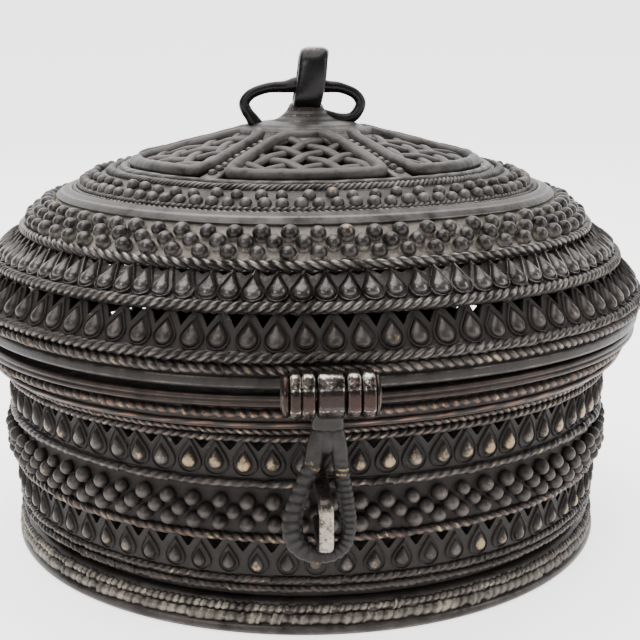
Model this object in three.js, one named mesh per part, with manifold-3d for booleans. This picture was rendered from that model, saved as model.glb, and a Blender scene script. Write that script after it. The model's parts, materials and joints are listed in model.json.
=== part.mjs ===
// Round lidded openwork box in cast brass, made by the lost-wax method. Millimetres, +Z up, the front faces -Y.
// The base and the lid are stacks of wall bands, with ropes and wires laid on them as the wax was. The lid turns on
// a hinge at the rear, and a hasp hangs from the lid's front hinge over a staple.
import * as THREE from "three";
import { mergeVertices } from "three/addons/utils/BufferGeometryUtils.js";
import Module from "manifold-3d";

const wasm = await Module();
wasm.setup();

// Heights of the base's bands, from the foot up
const LIP_HEIGHT = 3.0;
const BRAID_HEIGHT = 5.2;
const PLINTH_HEIGHT = 6.2;
const LOW_DROPS_HEIGHT = 8.0;
const BASE_BEADS_HEIGHT = 15.2;
const HIGH_DROPS_HEIGHT = 8.8;
const RIM_HEIGHT = 12.8;

// Heights of the lid's bands, from the seam up
const SEAM_GAP = 1.0;
const LID_EDGE_HEIGHT = 8.1;
const LID_LOW_DROPS_HEIGHT = 6.7;
const LID_WAIST_HEIGHT = 2.3;
const LID_HIGH_DROPS_HEIGHT = 5.3;
const LID_BEADS_HEIGHT = 8.4;
const STRAP_HEIGHT = 1.6;
const SHOULDER_HEIGHT = 4.4;

// Radius of the foot's outer face, and how far each wall above it steps out
const FOOT_RADIUS = 80.5;
const PLINTH_SET_BACK = 3.7;
const LOW_DROPS_STEP = 2.4;
const BASE_FLARE = 1.4;
const RIM_STEP = 5.4;
const RIM_LIP = 2.6;

// How far each wall of the lid steps in, from the edge up to the crown
const LID_OVERHANG = 0.6;
const LID_WALL_SET_BACK = 0.8;
const LID_LOW_DROPS_RUN = 5.0;
const LID_WAIST_RUN = 1.4;
const LID_HIGH_DROPS_RUN = 6.2;
const LID_BEADS_RUN = 10.2;
const STRAP_RUN = 3.4;
const SHOULDER_RUN = 8.2;
const CROWN_SLOPE = THREE.MathUtils.degToRad(14);

// Thicknesses, and how far the laid work stands proud of the walls
const WALL = 2.6;
const FLOOR_THICKNESS = 2.4;
const FLOOR_LEDGE = 2.4;
const ROPE_WIDTH = 2.4;
const ROPE_PROUD = 1.7;
const WIRE_WIDTH = 1.4;
const WIRE_PROUD = 0.9;
const DROP_PROUD = 1.3;
const BEAD_PROUD = 2.0;
const STRAP_PROUD = 0.6;
const FINE_PROUD = 0.9;
const CLEARANCE = 0.3;
const BRAID_PROUD = 1.4;
const PLINTH_GROOVE = 2.4;
const STEP_BACK = 0.4;
const PLINTH_ROPE_PROUD = 1.3;

// How many drops stand in each row, and how deep the spandrels between their tips are cut
const LOW_DROPS = 76;
const HIGH_DROPS = 80;
const LID_LOW_DROPS = 90;
const LID_HIGH_DROPS = 99;
const LID_BEADS = 70;
const SPANDREL_SHARE = 0.45;
const RING_SEGMENTS = 32;

// The crown's six lattice panels, in a web of six spokes
const PANELS = 6;
const CROWN_TURN = THREE.MathUtils.degToRad(-3);
const WEB_THICKNESS = 2.2;
const WEB_RING_WIDTH = 6.6;
const CROWN_RING_PROUD = 0.6;
const HUB_RADIUS = 15.0;
const SPOKE_WIDTH = 3.4;
const PANEL_THICKNESS = 3.4;
const PANEL_BORDER = 2.6;
const LATTICE_BAR = 2.0;
const LATTICE_PITCH = 9.4;
const LATTICE_THICKNESS = 2.8;

// The finial: a boss, an upright loop seen edge-on from the front, and a wire ear on each side
const BOSS_SEGMENTS = 24;
const BOSS_RADIUS = 10.6;
const BOSS_HEIGHT = 4.4;
const BOSS_TOP_RADIUS = 6.0;
const BOSS_FOOT = 0.4;
const LOOP_WIDTH = 7.6;
const LOOP_DEPTH = 12.0;
const LOOP_HEIGHT = 16.4;
const LOOP_BAND = 3.4;
const LOOP_LEAN = THREE.MathUtils.degToRad(4.5);
const EAR_WIRE = 2.7;
const LEFT_EAR_REACH = 18.6;
const RIGHT_EAR_REACH = 15.4;
const EAR_ROOT_RISE = 5.0;

// The two hinges. Every barrel is an octagon across the same flats
const BARREL_ACROSS_FLATS = 9.2;
const PIN_DIAMETER = 2.6;
const PIN_PLAY = 0.5;
const FRONT_STAND_OFF = 6.0;
const REAR_STAND_OFF = 7.8;
const FRONT_PIVOT_RISE = 0.9;
const MIDDLE_KNUCKLE_WIDTH = 5.6;
const OUTER_KNUCKLE_WIDTH = 6.0;
const KNUCKLE_GAP = 0.4;
const PIN_HEAD = 0.6;
const TAB_HEIGHT = 2.2;

// The hasp and its staple
const HASP_THICKNESS = 3.2;
const HASP_DROP = 39.3;
const STRAP_DROP = 7.4;
const LOOP_HALF_WIDTH = 7.9;
const HASP_NECK_HALF_WIDTH = 3.6;
const HASP_ROPE = 3.3;
const PEAR_EASE = 8.2;
const HASP_FULLNESS = 0.6;
const HASP_EYE_FULLNESS = 0.8;
const HASP_LEAN = THREE.MathUtils.degToRad(4);
const STAPLE_THICKNESS = 3.4;
const STAPLE_HEIGHT = 12.8;
const STAPLE_CENTRE_DROP = 27.3;
const STAPLE_BAND = 2.6;
const STAPLE_SHIFT = -1.5;

// Radii of the walls' outer faces that follow from the steps
const plinthRadius = FOOT_RADIUS - PLINTH_SET_BACK;
const baseWallLowRadius = plinthRadius + LOW_DROPS_STEP;
const baseWallHighRadius = baseWallLowRadius + BASE_FLARE;
const rimWallRadius = baseWallHighRadius + RIM_STEP;
const rimRadius = rimWallRadius + RIM_LIP;
const lidEdgeRadius = rimRadius + LID_OVERHANG;
const lidWallRadius = lidEdgeRadius - LID_WALL_SET_BACK;
const waistLowRadius = lidWallRadius - LID_LOW_DROPS_RUN;
const waistHighRadius = waistLowRadius - LID_WAIST_RUN;
const lidBeadsRadius = waistHighRadius - LID_HIGH_DROPS_RUN;
const strapLowRadius = lidBeadsRadius - LID_BEADS_RUN;
const strapHighRadius = strapLowRadius - STRAP_RUN;
const crownRadius = strapHighRadius - SHOULDER_RUN;

// Heights above the ground that follow from the bands
const braidZ = LIP_HEIGHT;
const plinthZ = braidZ + BRAID_HEIGHT;
const lowDropsZ = plinthZ + PLINTH_HEIGHT;
const beadsZ = lowDropsZ + LOW_DROPS_HEIGHT;
const highDropsZ = beadsZ + BASE_BEADS_HEIGHT;
const rimZ = highDropsZ + HIGH_DROPS_HEIGHT;
const rimTopZ = rimZ + RIM_HEIGHT;
const lidZ = rimTopZ + SEAM_GAP;
const lidLowDropsZ = lidZ + LID_EDGE_HEIGHT;
const waistZ = lidLowDropsZ + LID_LOW_DROPS_HEIGHT;
const lidHighDropsZ = waistZ + LID_WAIST_HEIGHT;
const lidBeadsZ = lidHighDropsZ + LID_HIGH_DROPS_HEIGHT;
const strapZ = lidBeadsZ + LID_BEADS_HEIGHT;
const shoulderZ = strapZ + STRAP_HEIGHT;
const crownZ = shoulderZ + SHOULDER_HEIGHT;
const rearPivotZ = rimTopZ + SEAM_GAP / 2;
const frontPivotZ = lidZ + FRONT_PIVOT_RISE;

// The pins stand off from the rim and the lid's edge, and the staple reaches as far in front of the box as the
// rear barrel does behind it
const frontPivotRadius = lidEdgeRadius + FRONT_STAND_OFF;
const rearPivotRadius = rimRadius + REAR_STAND_OFF;
const stapleReach = rearPivotRadius + BARREL_ACROSS_FLATS / 2;

const box = new THREE.Group();

// Brass finishes: the dark patina that most of the box has, the worn copper-brown wires, and polished hinge work
const patina = new THREE.MeshStandardMaterial({ color: 0x3d3733, roughness: 0.5, metalness: 0.8 });
const dusty = new THREE.MeshStandardMaterial({ color: 0x5c5650, roughness: 0.6, metalness: 0.6 });
const coppery = new THREE.MeshStandardMaterial({ color: 0x6a4a3a, roughness: 0.45, metalness: 0.9 });
const worn = new THREE.MeshStandardMaterial({ color: 0xa59a86, roughness: 0.35, metalness: 1 });

function add(name, geometry, material, parent = box) {
  const mesh = new THREE.Mesh(geometry, material);
  mesh.name = name;
  parent.add(mesh);
  return mesh;
}

const at = (radius, height) => new THREE.Vector2(radius, height);

// A ring with the given closed section, as [radius, height] pairs anticlockwise. Column 0 faces the front.
function ring(section, segments = RING_SEGMENTS) {
  const points = section.map(([radius, height]) => at(radius, height));
  return new THREE.LatheGeometry([...points, points[0].clone()], segments).rotateX(Math.PI / 2);
}

// A turned solid whose outline starts and ends on the axis
function turned(outline, segments = RING_SEGMENTS) {
  const points = outline.map(([radius, height]) => at(radius, height));
  return new THREE.LatheGeometry(points, segments).rotateX(Math.PI / 2);
}

// Rope or wire laid round the outer face of a wall, from one point of that face up to another. It stands straight
// out from a steep wall, so that it keeps between those heights, and square to a shallow one.
function laid(low, high, proud) {
  const rise = high.clone().sub(low);
  const steep = rise.y > Math.abs(rise.x);
  const out = steep ? at(proud, 0) : at(rise.y, -rise.x).normalize().multiplyScalar(proud);
  const shoulder = (share) => low.clone().lerp(high, share).add(out);
  return ring([low, shoulder(0.22), shoulder(0.78), high].map((p) => [p.x, p.y]));
}

// The point of a straight wall, from low to high, at a height
function onWall(low, high, height) {
  return low.clone().lerp(high, (height - low.y) / (high.y - low.y));
}

// Rope or wire centred at a height of a straight wall
function laidAt(low, high, height, width, proud) {
  const slope = high.clone().sub(low).normalize();
  const half = (width / 2) * slope.y;
  return laid(onWall(low, high, height - half), onWall(low, high, height + half), proud);
}

// A pierced wall band: drops side by side that swell at the foot and run up to a tip, with an open spandrel
// between each two tips. Even columns are drops, and odd columns are the valleys between them.
function dropBand(low, high, count) {
  const band = ring([
    [low.x - WALL, low.y],
    [low.x, low.y],
    [high.x, high.y],
    [high.x - WALL, high.y],
  ], 2 * count);
  const position = band.getAttribute("position");
  const stations = 5;
  const rise = high.clone().sub(low);
  for (let i = 0; i < position.count; i++) {
    const column = Math.floor(i / stations);
    const station = i % stations;
    const radius = Math.hypot(position.getX(i), position.getY(i));
    let shift = 0;
    let fall = 0;
    if (column % 2 === 0 && station === 1) shift = DROP_PROUD;
    if (column % 2 === 1 && (station === 2 || station === 3)) {
      shift = -rise.x * SPANDREL_SHARE;
      fall = rise.y * SPANDREL_SHARE;
    }
    const scale = (radius + shift) / radius;
    position.setXYZ(i, position.getX(i) * scale, position.getY(i) * scale, position.getZ(i) - fall);
  }
  return band;
}

// A ring whose section carries rows of beads, each row set half a step from the next. rows lists the section's
// points that stand at the beads' tops, and down is the way from a top to the wall between two beads. The ring keeps
// within the facets of the plain rings, so that rope can be laid on it.
function beadBand(section, rows, count, down) {
  const band = ring(section, 2 * count);
  const position = band.getAttribute("position");
  const stations = section.length + 1;
  const facet = (2 * Math.PI) / RING_SEGMENTS;
  for (let i = 0; i < position.count; i++) {
    const column = Math.floor(i / stations) % (2 * count);
    const row = rows.indexOf(i % stations);
    const between = row >= 0 && (column + row) % 2 === 1;
    const radius = Math.hypot(position.getX(i), position.getY(i));
    const offCorner = ((column * Math.PI) / count) % facet;
    const inward = Math.cos(facet / 2) / Math.cos(offCorner - facet / 2);
    const scale = (inward * (radius + (between ? down.x : 0))) / radius;
    const z = position.getZ(i) + (between ? down.y : 0);
    position.setXYZ(i, position.getX(i) * scale, position.getY(i) * scale, z);
  }
  return band;
}

// The foot: a smooth lip, and the braid above it on the same ring, which is wide enough to carry the floor
const footInnerRadius = plinthRadius - WALL - FLOOR_LEDGE;
const braidSeatRadius = FOOT_RADIUS - BRAID_PROUD;
add("foot_ring", ring([
  [footInnerRadius, 0],
  [FOOT_RADIUS - 0.8, 0],
  [FOOT_RADIUS, 0.8],
  [FOOT_RADIUS, LIP_HEIGHT - 0.5],
  [braidSeatRadius, LIP_HEIGHT],
  [braidSeatRadius, plinthZ - 1],
  [plinthRadius, plinthZ],
  [footInnerRadius, plinthZ],
]), worn);
const footWall = [at(braidSeatRadius, LIP_HEIGHT), at(braidSeatRadius, plinthZ - 1)];
add("foot_braid", laid(...footWall, BRAID_PROUD), worn);

// The floor rests on the foot ring, inside the plinth
const floorRadius = plinthRadius - WALL - CLEARANCE;
add("base_floor", turned([
  [0, plinthZ],
  [floorRadius, plinthZ],
  [floorRadius, plinthZ + FLOOR_THICKNESS],
  [0, plinthZ + FLOOR_THICKNESS],
]), patina);

// The plinth, a deep smooth groove over the foot, with a seat for a pair of thin ropes under the first drops
const baseWall = [at(baseWallLowRadius, lowDropsZ), at(baseWallHighRadius, rimZ)];
const ropeSeatRadius = baseWallLowRadius - STEP_BACK;
add("plinth", ring([
  [plinthRadius - WALL, plinthZ],
  [plinthRadius, plinthZ],
  [plinthRadius, plinthZ + 0.75 * PLINTH_GROOVE],
  [ropeSeatRadius, plinthZ + PLINTH_GROOVE],
  [ropeSeatRadius, lowDropsZ],
  [plinthRadius - WALL, lowDropsZ],
]), patina);
add("plinth_rope", laid(
  at(ropeSeatRadius, plinthZ + PLINTH_GROOVE),
  at(ropeSeatRadius, lowDropsZ - CLEARANCE),
  PLINTH_ROPE_PROUD,
), patina);

add("base_drops_low", dropBand(onWall(...baseWall, lowDropsZ), onWall(...baseWall, beadsZ), LOW_DROPS), patina);

// The band of three bead rows, with a rope along each edge
const beadsLow = onWall(...baseWall, beadsZ);
const beadsHigh = onWall(...baseWall, highDropsZ);
const ropeBelowBeadsZ = beadsZ + ROPE_WIDTH / 2;
const ropeAboveBeadsZ = highDropsZ - ROPE_WIDTH / 2;
const beadRowLow = onWall(...baseWall, beadsZ + ROPE_WIDTH + 0.6);
const beadRowHigh = onWall(...baseWall, highDropsZ - ROPE_WIDTH - 0.6);
add("base_bead_band", ring([
  [beadsLow.x - WALL, beadsLow.y],
  [beadsLow.x, beadsLow.y],
  [beadRowLow.x, beadRowLow.y],
  [beadRowLow.x + BEAD_PROUD, beadRowLow.y + 1.2],
  [beadRowHigh.x + BEAD_PROUD, beadRowHigh.y - 1.2],
  [beadRowHigh.x, beadRowHigh.y],
  [beadsHigh.x, beadsHigh.y],
  [beadsHigh.x - WALL, beadsHigh.y],
]), patina);
add("rope_below_beads", laidAt(...[beadsLow, beadRowLow], ropeBelowBeadsZ, ROPE_WIDTH, ROPE_PROUD), coppery);
add("rope_above_beads", laidAt(...[beadRowHigh, beadsHigh], ropeAboveBeadsZ, ROPE_WIDTH, ROPE_PROUD), patina);

add("base_drops_high", dropBand(onWall(...baseWall, highDropsZ), onWall(...baseWall, rimZ), HIGH_DROPS), patina);

// The rim steps out from the wall and carries a rope, a wire, a coppery rope and a smooth edge
const rimFoot = [at(baseWallHighRadius, rimZ), at(baseWallHighRadius, rimZ + ROPE_WIDTH + 0.4)];
const rimEdgeHeight = 2.8;
const rimWall = [at(rimWallRadius - 1.4, rimZ + 4.2), at(rimWallRadius, rimTopZ - rimEdgeHeight)];
add("base_rim", ring([
  [baseWallHighRadius - WALL, rimZ],
  [baseWallHighRadius, rimZ],
  [rimFoot[1].x, rimFoot[1].y],
  [rimWall[0].x, rimWall[0].y],
  [rimWall[1].x, rimWall[1].y],
  [rimRadius, rimTopZ - rimEdgeHeight + 0.5],
  [rimRadius, rimTopZ - 0.6],
  [rimRadius - 0.8, rimTopZ],
  [rimWallRadius - WALL, rimTopZ],
  [rimWallRadius - WALL, rimWall[0].y + WALL * 0.7],
]), coppery);
add("rope_below_rim", laid(...rimFoot, ROPE_PROUD), patina);
const rimWireZ = rimWall[0].y + WIRE_WIDTH / 2 + 0.3;
const rimRopeZ = rimWall[1].y - ROPE_WIDTH / 2 - 0.3;
add("rim_wire", laidAt(...rimWall, rimWireZ, WIRE_WIDTH, WIRE_PROUD), coppery);
add("rim_rope", laidAt(...rimWall, rimRopeZ, ROPE_WIDTH, ROPE_PROUD), coppery);

// The parts of the lid are drawn closed, where they rest
const lid = new THREE.Group();
box.add(lid);

// The lid's edge: a smooth band, then two ropes laid against each other
const lidWallZ = lidZ + 3.0;
const lidWall = [at(lidWallRadius, lidWallZ), at(lidWallRadius, lidLowDropsZ)];
add("lid_edge", ring([
  [rimWallRadius - WALL, lidZ],
  [lidEdgeRadius - 0.7, lidZ],
  [lidEdgeRadius, lidZ + 0.7],
  [lidEdgeRadius, lidWallZ - 0.6],
  [lidWallRadius, lidWallZ],
  [lidWallRadius, lidLowDropsZ],
  [lidWallRadius - WALL, lidLowDropsZ],
]), patina, lid);
add("lid_edge_rope_low", laid(lidWall[0], lidWall[0].clone().lerp(lidWall[1], 0.48), ROPE_PROUD), coppery, lid);
add("lid_edge_rope_high", laid(lidWall[0].clone().lerp(lidWall[1], 0.52), lidWall[1], ROPE_PROUD + 0.4), patina, lid);

const waist = [at(waistLowRadius, waistZ), at(waistHighRadius, lidHighDropsZ)];
add("lid_drops_low", dropBand(lidWall[1], waist[0], LID_LOW_DROPS), patina, lid);
add("lid_waist", ring([
  [waist[0].x - WALL, waist[0].y],
  [waist[0].x, waist[0].y],
  [waist[1].x, waist[1].y],
  [waist[1].x - WALL, waist[1].y],
]), patina, lid);
add("lid_waist_rope", laid(...waist, ROPE_PROUD), patina, lid);

const lidBeads = [at(lidBeadsRadius, lidBeadsZ), at(strapLowRadius, strapZ)];
add("lid_drops_high", dropBand(waist[1], lidBeads[0], LID_HIGH_DROPS), dusty, lid);

// The lid's band of three bead rows, with a rope at its foot
const lidBeadsNormal = at(lidBeads[1].y - lidBeads[0].y, lidBeads[0].x - lidBeads[1].x).normalize();
const lidBeadPoint = (share, proud) => {
  const p = lidBeads[0].clone().lerp(lidBeads[1], share).addScaledVector(lidBeadsNormal, proud);
  return [p.x, p.y];
};
const lidRopeShare = 0.2;
const lidBeadRows = [0, 1, 2].map((row) => lidRopeShare + (0.13 + 0.27 * row) * (1 - lidRopeShare) + 0.04);
add("lid_bead_band", beadBand([
  [lidBeads[0].x - WALL, lidBeads[0].y],
  lidBeadPoint(0, 0),
  lidBeadPoint(lidRopeShare + 0.03, 0),
  ...lidBeadRows.map((share) => lidBeadPoint(share, BEAD_PROUD)),
  lidBeadPoint(1, 0),
  [lidBeads[1].x - WALL, lidBeads[1].y],
], [3, 4, 5], LID_BEADS, lidBeadsNormal.clone().multiplyScalar(-BEAD_PROUD)), dusty, lid);
add("lid_bead_rope", laid(lidBeads[0], lidBeads[0].clone().lerp(lidBeads[1], lidRopeShare), ROPE_PROUD), dusty, lid);

// The shoulder: a smooth strap, a rope, a row of flat beads and a thin rope, up to the edge of the crown
const shoulder = [at(strapHighRadius, shoulderZ), at(crownRadius + CLEARANCE, crownZ)];
add("lid_shoulder", ring([
  [strapLowRadius - WALL, strapZ],
  [strapLowRadius, strapZ],
  [shoulder[0].x, shoulder[0].y],
  [shoulder[1].x, shoulder[1].y],
  [shoulder[1].x, shoulder[1].y - WALL],
]), dusty, lid);
add("shoulder_strap", laid(at(strapLowRadius, strapZ), shoulder[0], STRAP_PROUD), dusty, lid);
const alongShoulder = (share) => shoulder[0].clone().lerp(shoulder[1], share);
add("shoulder_rope", laid(alongShoulder(0.02), alongShoulder(0.3), FINE_PROUD), dusty, lid);
add("shoulder_beads", laid(alongShoulder(0.32), alongShoulder(0.66), FINE_PROUD + 0.3), dusty, lid);
add("crown_rope", laid(alongShoulder(0.68), alongShoulder(0.97), FINE_PROUD), dusty, lid);

// The crown is a low cone: a flat outline is extruded and then draped on it
const crownHeight = (radius) => crownZ + (crownRadius - radius) * Math.tan(CROWN_SLOPE);

function draped(flatGeometry, drop) {
  const position = flatGeometry.getAttribute("position");
  for (let i = 0; i < position.count; i++) {
    const radius = Math.hypot(position.getX(i), position.getY(i));
    position.setZ(i, position.getZ(i) + crownHeight(radius) - drop);
  }
  return flatGeometry;
}

// A petal of the crown between two spokes, shrunk by a margin, as a list of points round its outline
const petalOuterRadius = crownRadius - WEB_RING_WIDTH;
const petalInnerRadius = HUB_RADIUS;
function petal(margin) {
  const halfAngle = Math.PI / PANELS;
  const outer = petalOuterRadius - margin;
  const inner = petalInnerRadius + margin;
  const side = SPOKE_WIDTH / 2 + margin;
  const edgeAngle = (radius) => halfAngle - Math.asin(side / radius);
  const corner = 0.14 * edgeAngle(outer);
  const points = [];
  const put = (radius, angle) => points.push(at(radius * Math.sin(angle), -radius * Math.cos(angle)));
  const outerHalf = edgeAngle(outer);
  const innerHalf = edgeAngle(inner);
  put(inner, -innerHalf);
  put(0.9 * outer, -edgeAngle(0.9 * outer));
  for (const share of [-1, -0.5, 0, 0.5, 1]) put(outer, share * (outerHalf - corner));
  put(0.9 * outer, edgeAngle(0.9 * outer));
  put(inner, innerHalf);
  return points;
}

// Solids for joining and cutting, from closed geometries and back
function solid(geometry) {
  const bare = geometry.clone();
  bare.deleteAttribute("normal");
  bare.deleteAttribute("uv");
  const merged = mergeVertices(bare, 1e-4);
  return new wasm.Manifold(new wasm.Mesh({
    numProp: 3,
    vertProperties: merged.getAttribute("position").array,
    triVerts: new Uint32Array(merged.index.array),
  }));
}

function geometryOf(joined) {
  const mesh = joined.getMesh();
  const geometry = new THREE.BufferGeometry();
  geometry.setAttribute("position", new THREE.BufferAttribute(mesh.vertProperties, 3));
  return geometry.setIndex(new THREE.BufferAttribute(mesh.triVerts, 1));
}

const extruded = (shape, thickness) => new THREE.ExtrudeGeometry(shape, {
  depth: thickness, bevelEnabled: false, curveSegments: 6,
});

// A flat lattice panel: bars that cross at a right angle, cut to the panel's outline and joined to its border
function flatPanel() {
  const frame = new THREE.Shape(petal(CLEARANCE));
  frame.holes.push(new THREE.Path(petal(CLEARANCE + PANEL_BORDER).reverse()));
  const inside = solid(extruded(new THREE.Shape(petal(CLEARANCE + PANEL_BORDER / 2)), LATTICE_THICKNESS));
  const middle = (petalOuterRadius + petalInnerRadius) / 2;
  const halfCount = Math.ceil(petalOuterRadius / LATTICE_PITCH / 2);
  const layers = [1, -1].map((lean) => {
    let bars = null;
    for (let i = -halfCount; i <= halfCount; i++) {
      const bar = new THREE.BoxGeometry(2 * petalOuterRadius, LATTICE_BAR, LATTICE_THICKNESS);
      bar.translate(0, i * LATTICE_PITCH, LATTICE_THICKNESS / 2).rotateZ((lean * Math.PI) / 4);
      bar.translate(0, -middle, 0);
      bars = bars ? bars.add(solid(bar)) : solid(bar);
    }
    return bars.intersect(inside);
  });
  return geometryOf(solid(extruded(frame, PANEL_THICKNESS)).add(layers[0].add(layers[1])));
}

const crown = new THREE.Group();
crown.rotation.z = CROWN_TURN;
lid.add(crown);

function circle(radius, count) {
  return Array.from({ length: count }, (_, i) => {
    const angle = (i * 2 * Math.PI) / count;
    return at(radius * Math.sin(angle), -radius * Math.cos(angle));
  });
}
const web = new THREE.Shape(circle(crownRadius, RING_SEGMENTS));
web.holes.push(new THREE.Path(circle(BOSS_RADIUS + CLEARANCE, BOSS_SEGMENTS)));
for (let i = 0; i < PANELS; i++) {
  const turn = (i * 2 * Math.PI) / PANELS;
  const outline = petal(0).map((p) => p.rotateAround(at(0, 0), turn));
  web.holes.push(new THREE.Path(outline));
}
add("crown_web", draped(extruded(web, WEB_THICKNESS), WEB_THICKNESS), dusty, crown);

for (let i = 0; i < PANELS; i++) {
  const panel = add(`lattice_panel_${i + 1}`, draped(flatPanel(), WEB_THICKNESS), dusty, crown);
  panel.rotation.z = (i * 2 * Math.PI) / PANELS;
}

// The crown's smooth ring lies on the web just outside the panels
const crownPoint = (radius) => at(radius, crownHeight(radius));
const crownRingWidth = 2.0;
const crownRingRadius = petalOuterRadius + crownRingWidth / 2 + 0.4;
const crownRingRest = CLEARANCE;
add("crown_ring", laid(
  crownPoint(crownRingRadius + crownRingWidth / 2).add(at(0, crownRingRest)),
  crownPoint(crownRingRadius - crownRingWidth / 2).add(at(0, crownRingRest)),
  CROWN_RING_PROUD,
), dusty, lid);

// The finial
const bossBaseZ = crownHeight(BOSS_RADIUS) - WEB_THICKNESS;
const bossTopZ = crownHeight(BOSS_RADIUS) + BOSS_HEIGHT;
add("apex_boss", turned([
  [0, bossBaseZ],
  [BOSS_RADIUS, bossBaseZ],
  [BOSS_RADIUS, crownHeight(BOSS_RADIUS) + BOSS_FOOT],
  [BOSS_TOP_RADIUS + 1.0, bossTopZ - 1.8],
  [BOSS_TOP_RADIUS, bossTopZ],
  [0, bossTopZ],
], BOSS_SEGMENTS), dusty, lid);

const finial = new THREE.Group();
finial.position.z = bossTopZ + CLEARANCE;
finial.rotation.y = LOOP_LEAN;
lid.add(finial);

// The loop is an arch that stands front to back, drawn in its own plane and extruded to its width
function arch(halfDepth, foot, top) {
  const radius = halfDepth;
  const path = new THREE.Path();
  path.moveTo(halfDepth, foot);
  path.lineTo(halfDepth, top - radius);
  path.absarc(0, top - radius, radius, 0, Math.PI, false);
  path.lineTo(-halfDepth, foot);
  return path;
}
const loopShape = new THREE.Shape(arch(LOOP_DEPTH / 2, 0, LOOP_HEIGHT).getPoints(5));
loopShape.holes.push(new THREE.Path(
  arch(LOOP_DEPTH / 2 - LOOP_BAND, LOOP_BAND, LOOP_HEIGHT - LOOP_BAND).getPoints(5).reverse(),
));
const loopBevel = 1.0;
const loopGeometry = new THREE.ExtrudeGeometry(loopShape, {
  depth: LOOP_WIDTH - 2 * loopBevel,
  bevelThickness: loopBevel,
  bevelSize: loopBevel,
  bevelOffset: -loopBevel,
  bevelSegments: 1,
});
loopGeometry.translate(0, 0, loopBevel - LOOP_WIDTH / 2);
loopGeometry.rotateX(Math.PI / 2).rotateZ(Math.PI / 2);
add("finial_loop", loopGeometry, patina, finial);

// Each ear springs from the loop's side and curls down to the crown beside the boss
function ear(side, reach) {
  const rootX = side * (LOOP_WIDTH / 2 + CLEARANCE);
  const rootZ = bossTopZ + EAR_ROOT_RISE;
  const landX = side * (BOSS_RADIUS + 0.8 * EAR_WIRE);
  const landZ = crownHeight(BOSS_RADIUS + EAR_WIRE / 2) + CLEARANCE + EAR_WIRE / 2;
  const middleZ = (rootZ + landZ) / 2;
  const path = new THREE.CatmullRomCurve3([
    new THREE.Vector3(rootX, 0, rootZ),
    new THREE.Vector3(side * 0.6 * reach, 0, rootZ - 0.6),
    new THREE.Vector3(side * 0.86 * reach, 0, rootZ - 2.6),
    new THREE.Vector3(side * (reach - EAR_WIRE / 2), 0, middleZ - 0.2),
    new THREE.Vector3(side * 0.88 * reach, 0, landZ + 0.9),
    new THREE.Vector3(landX, 0, landZ),
  ]);
  const section = new THREE.Shape();
  section.absarc(0, 0, EAR_WIRE / 2, 0, 2 * Math.PI);
  return new THREE.ExtrudeGeometry(section, { extrudePath: path, steps: 10, curveSegments: 3, bevelEnabled: false });
}
add("finial_ear_left", ear(-1, LEFT_EAR_REACH), patina, lid);
add("finial_ear_right", ear(1, RIGHT_EAR_REACH), patina, lid);

// Hinge work. A knuckle is drawn in the plane across its pin, outwards and up from the pin's centre, then
// extruded along the pin. The points of the octagon run anticlockwise from the lower inner corner.
const flat = BARREL_ACROSS_FLATS / 2;
const chamfer = flat * Math.tan(Math.PI / 8);
const octagon = [
  at(-flat, -chamfer), at(-chamfer, -flat), at(chamfer, -flat), at(flat, -chamfer),
  at(flat, chamfer), at(chamfer, flat), at(-chamfer, flat), at(-flat, chamfer),
];

function pinHole() {
  const hole = new THREE.Path();
  hole.absarc(0, 0, PIN_DIAMETER / 2 + PIN_PLAY, 0, 2 * Math.PI);
  return hole;
}

// tab holds the points of the arm that joins the barrel to its casting, between the last corner and the first
function knuckle(width, tab) {
  const shape = new THREE.Shape([...octagon, ...tab]);
  shape.holes.push(pinHole());
  return new THREE.ExtrudeGeometry(shape, { depth: width, bevelEnabled: false, curveSegments: 5 });
}

// A knuckle's plane has x outwards and y up. It is turned to face the front or the rear.
function placed(geometry, width, middleX, hinge) {
  geometry.translate(0, 0, -width / 2).rotateX(Math.PI / 2).rotateZ(hinge.facing * Math.PI / 2);
  return geometry.translate(middleX, hinge.facing * hinge.radius, hinge.z);
}
const frontHinge = { facing: -1, radius: frontPivotRadius, z: frontPivotZ };
const rearHinge = { facing: 1, radius: rearPivotRadius, z: rearPivotZ };

// How far out the flat face of a ring lies beside its front or rear corner
const ringFace = (radius, besideX) => radius - besideX * Math.tan(Math.PI / RING_SEGMENTS);

// The four corners of the tab that joins a barrel to a ring, at heights above the pin
function tabTo(hinge, radius, besideX, bottomZ) {
  const reach = ringFace(radius, besideX) + CLEARANCE - hinge.radius;
  const low = bottomZ - hinge.z;
  const corners = [
    at(-flat, low + TAB_HEIGHT), at(reach, low + TAB_HEIGHT), at(reach, low), at(-flat, low),
  ];
  return corners.filter((p) => p.x > -flat - 1e-6 ? Math.abs(p.y) < chamfer : true);
}

function pin(hinge) {
  const half = MIDDLE_KNUCKLE_WIDTH / 2 + KNUCKLE_GAP + OUTER_KNUCKLE_WIDTH + CLEARANCE;
  const rod = PIN_DIAMETER / 2;
  const head = rod + 1.4;
  const outline = [
    [0, -half - PIN_HEAD], [head, -half - PIN_HEAD], [head, -half], [rod, -half],
    [rod, half], [head, half], [head, half + PIN_HEAD], [0, half + PIN_HEAD],
  ];
  return turned(outline, 12).rotateY(Math.PI / 2).translate(0, hinge.facing * hinge.radius, hinge.z);
}

const outerInside = MIDDLE_KNUCKLE_WIDTH / 2 + KNUCKLE_GAP;
const outerMiddle = outerInside + OUTER_KNUCKLE_WIDTH / 2;

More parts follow.
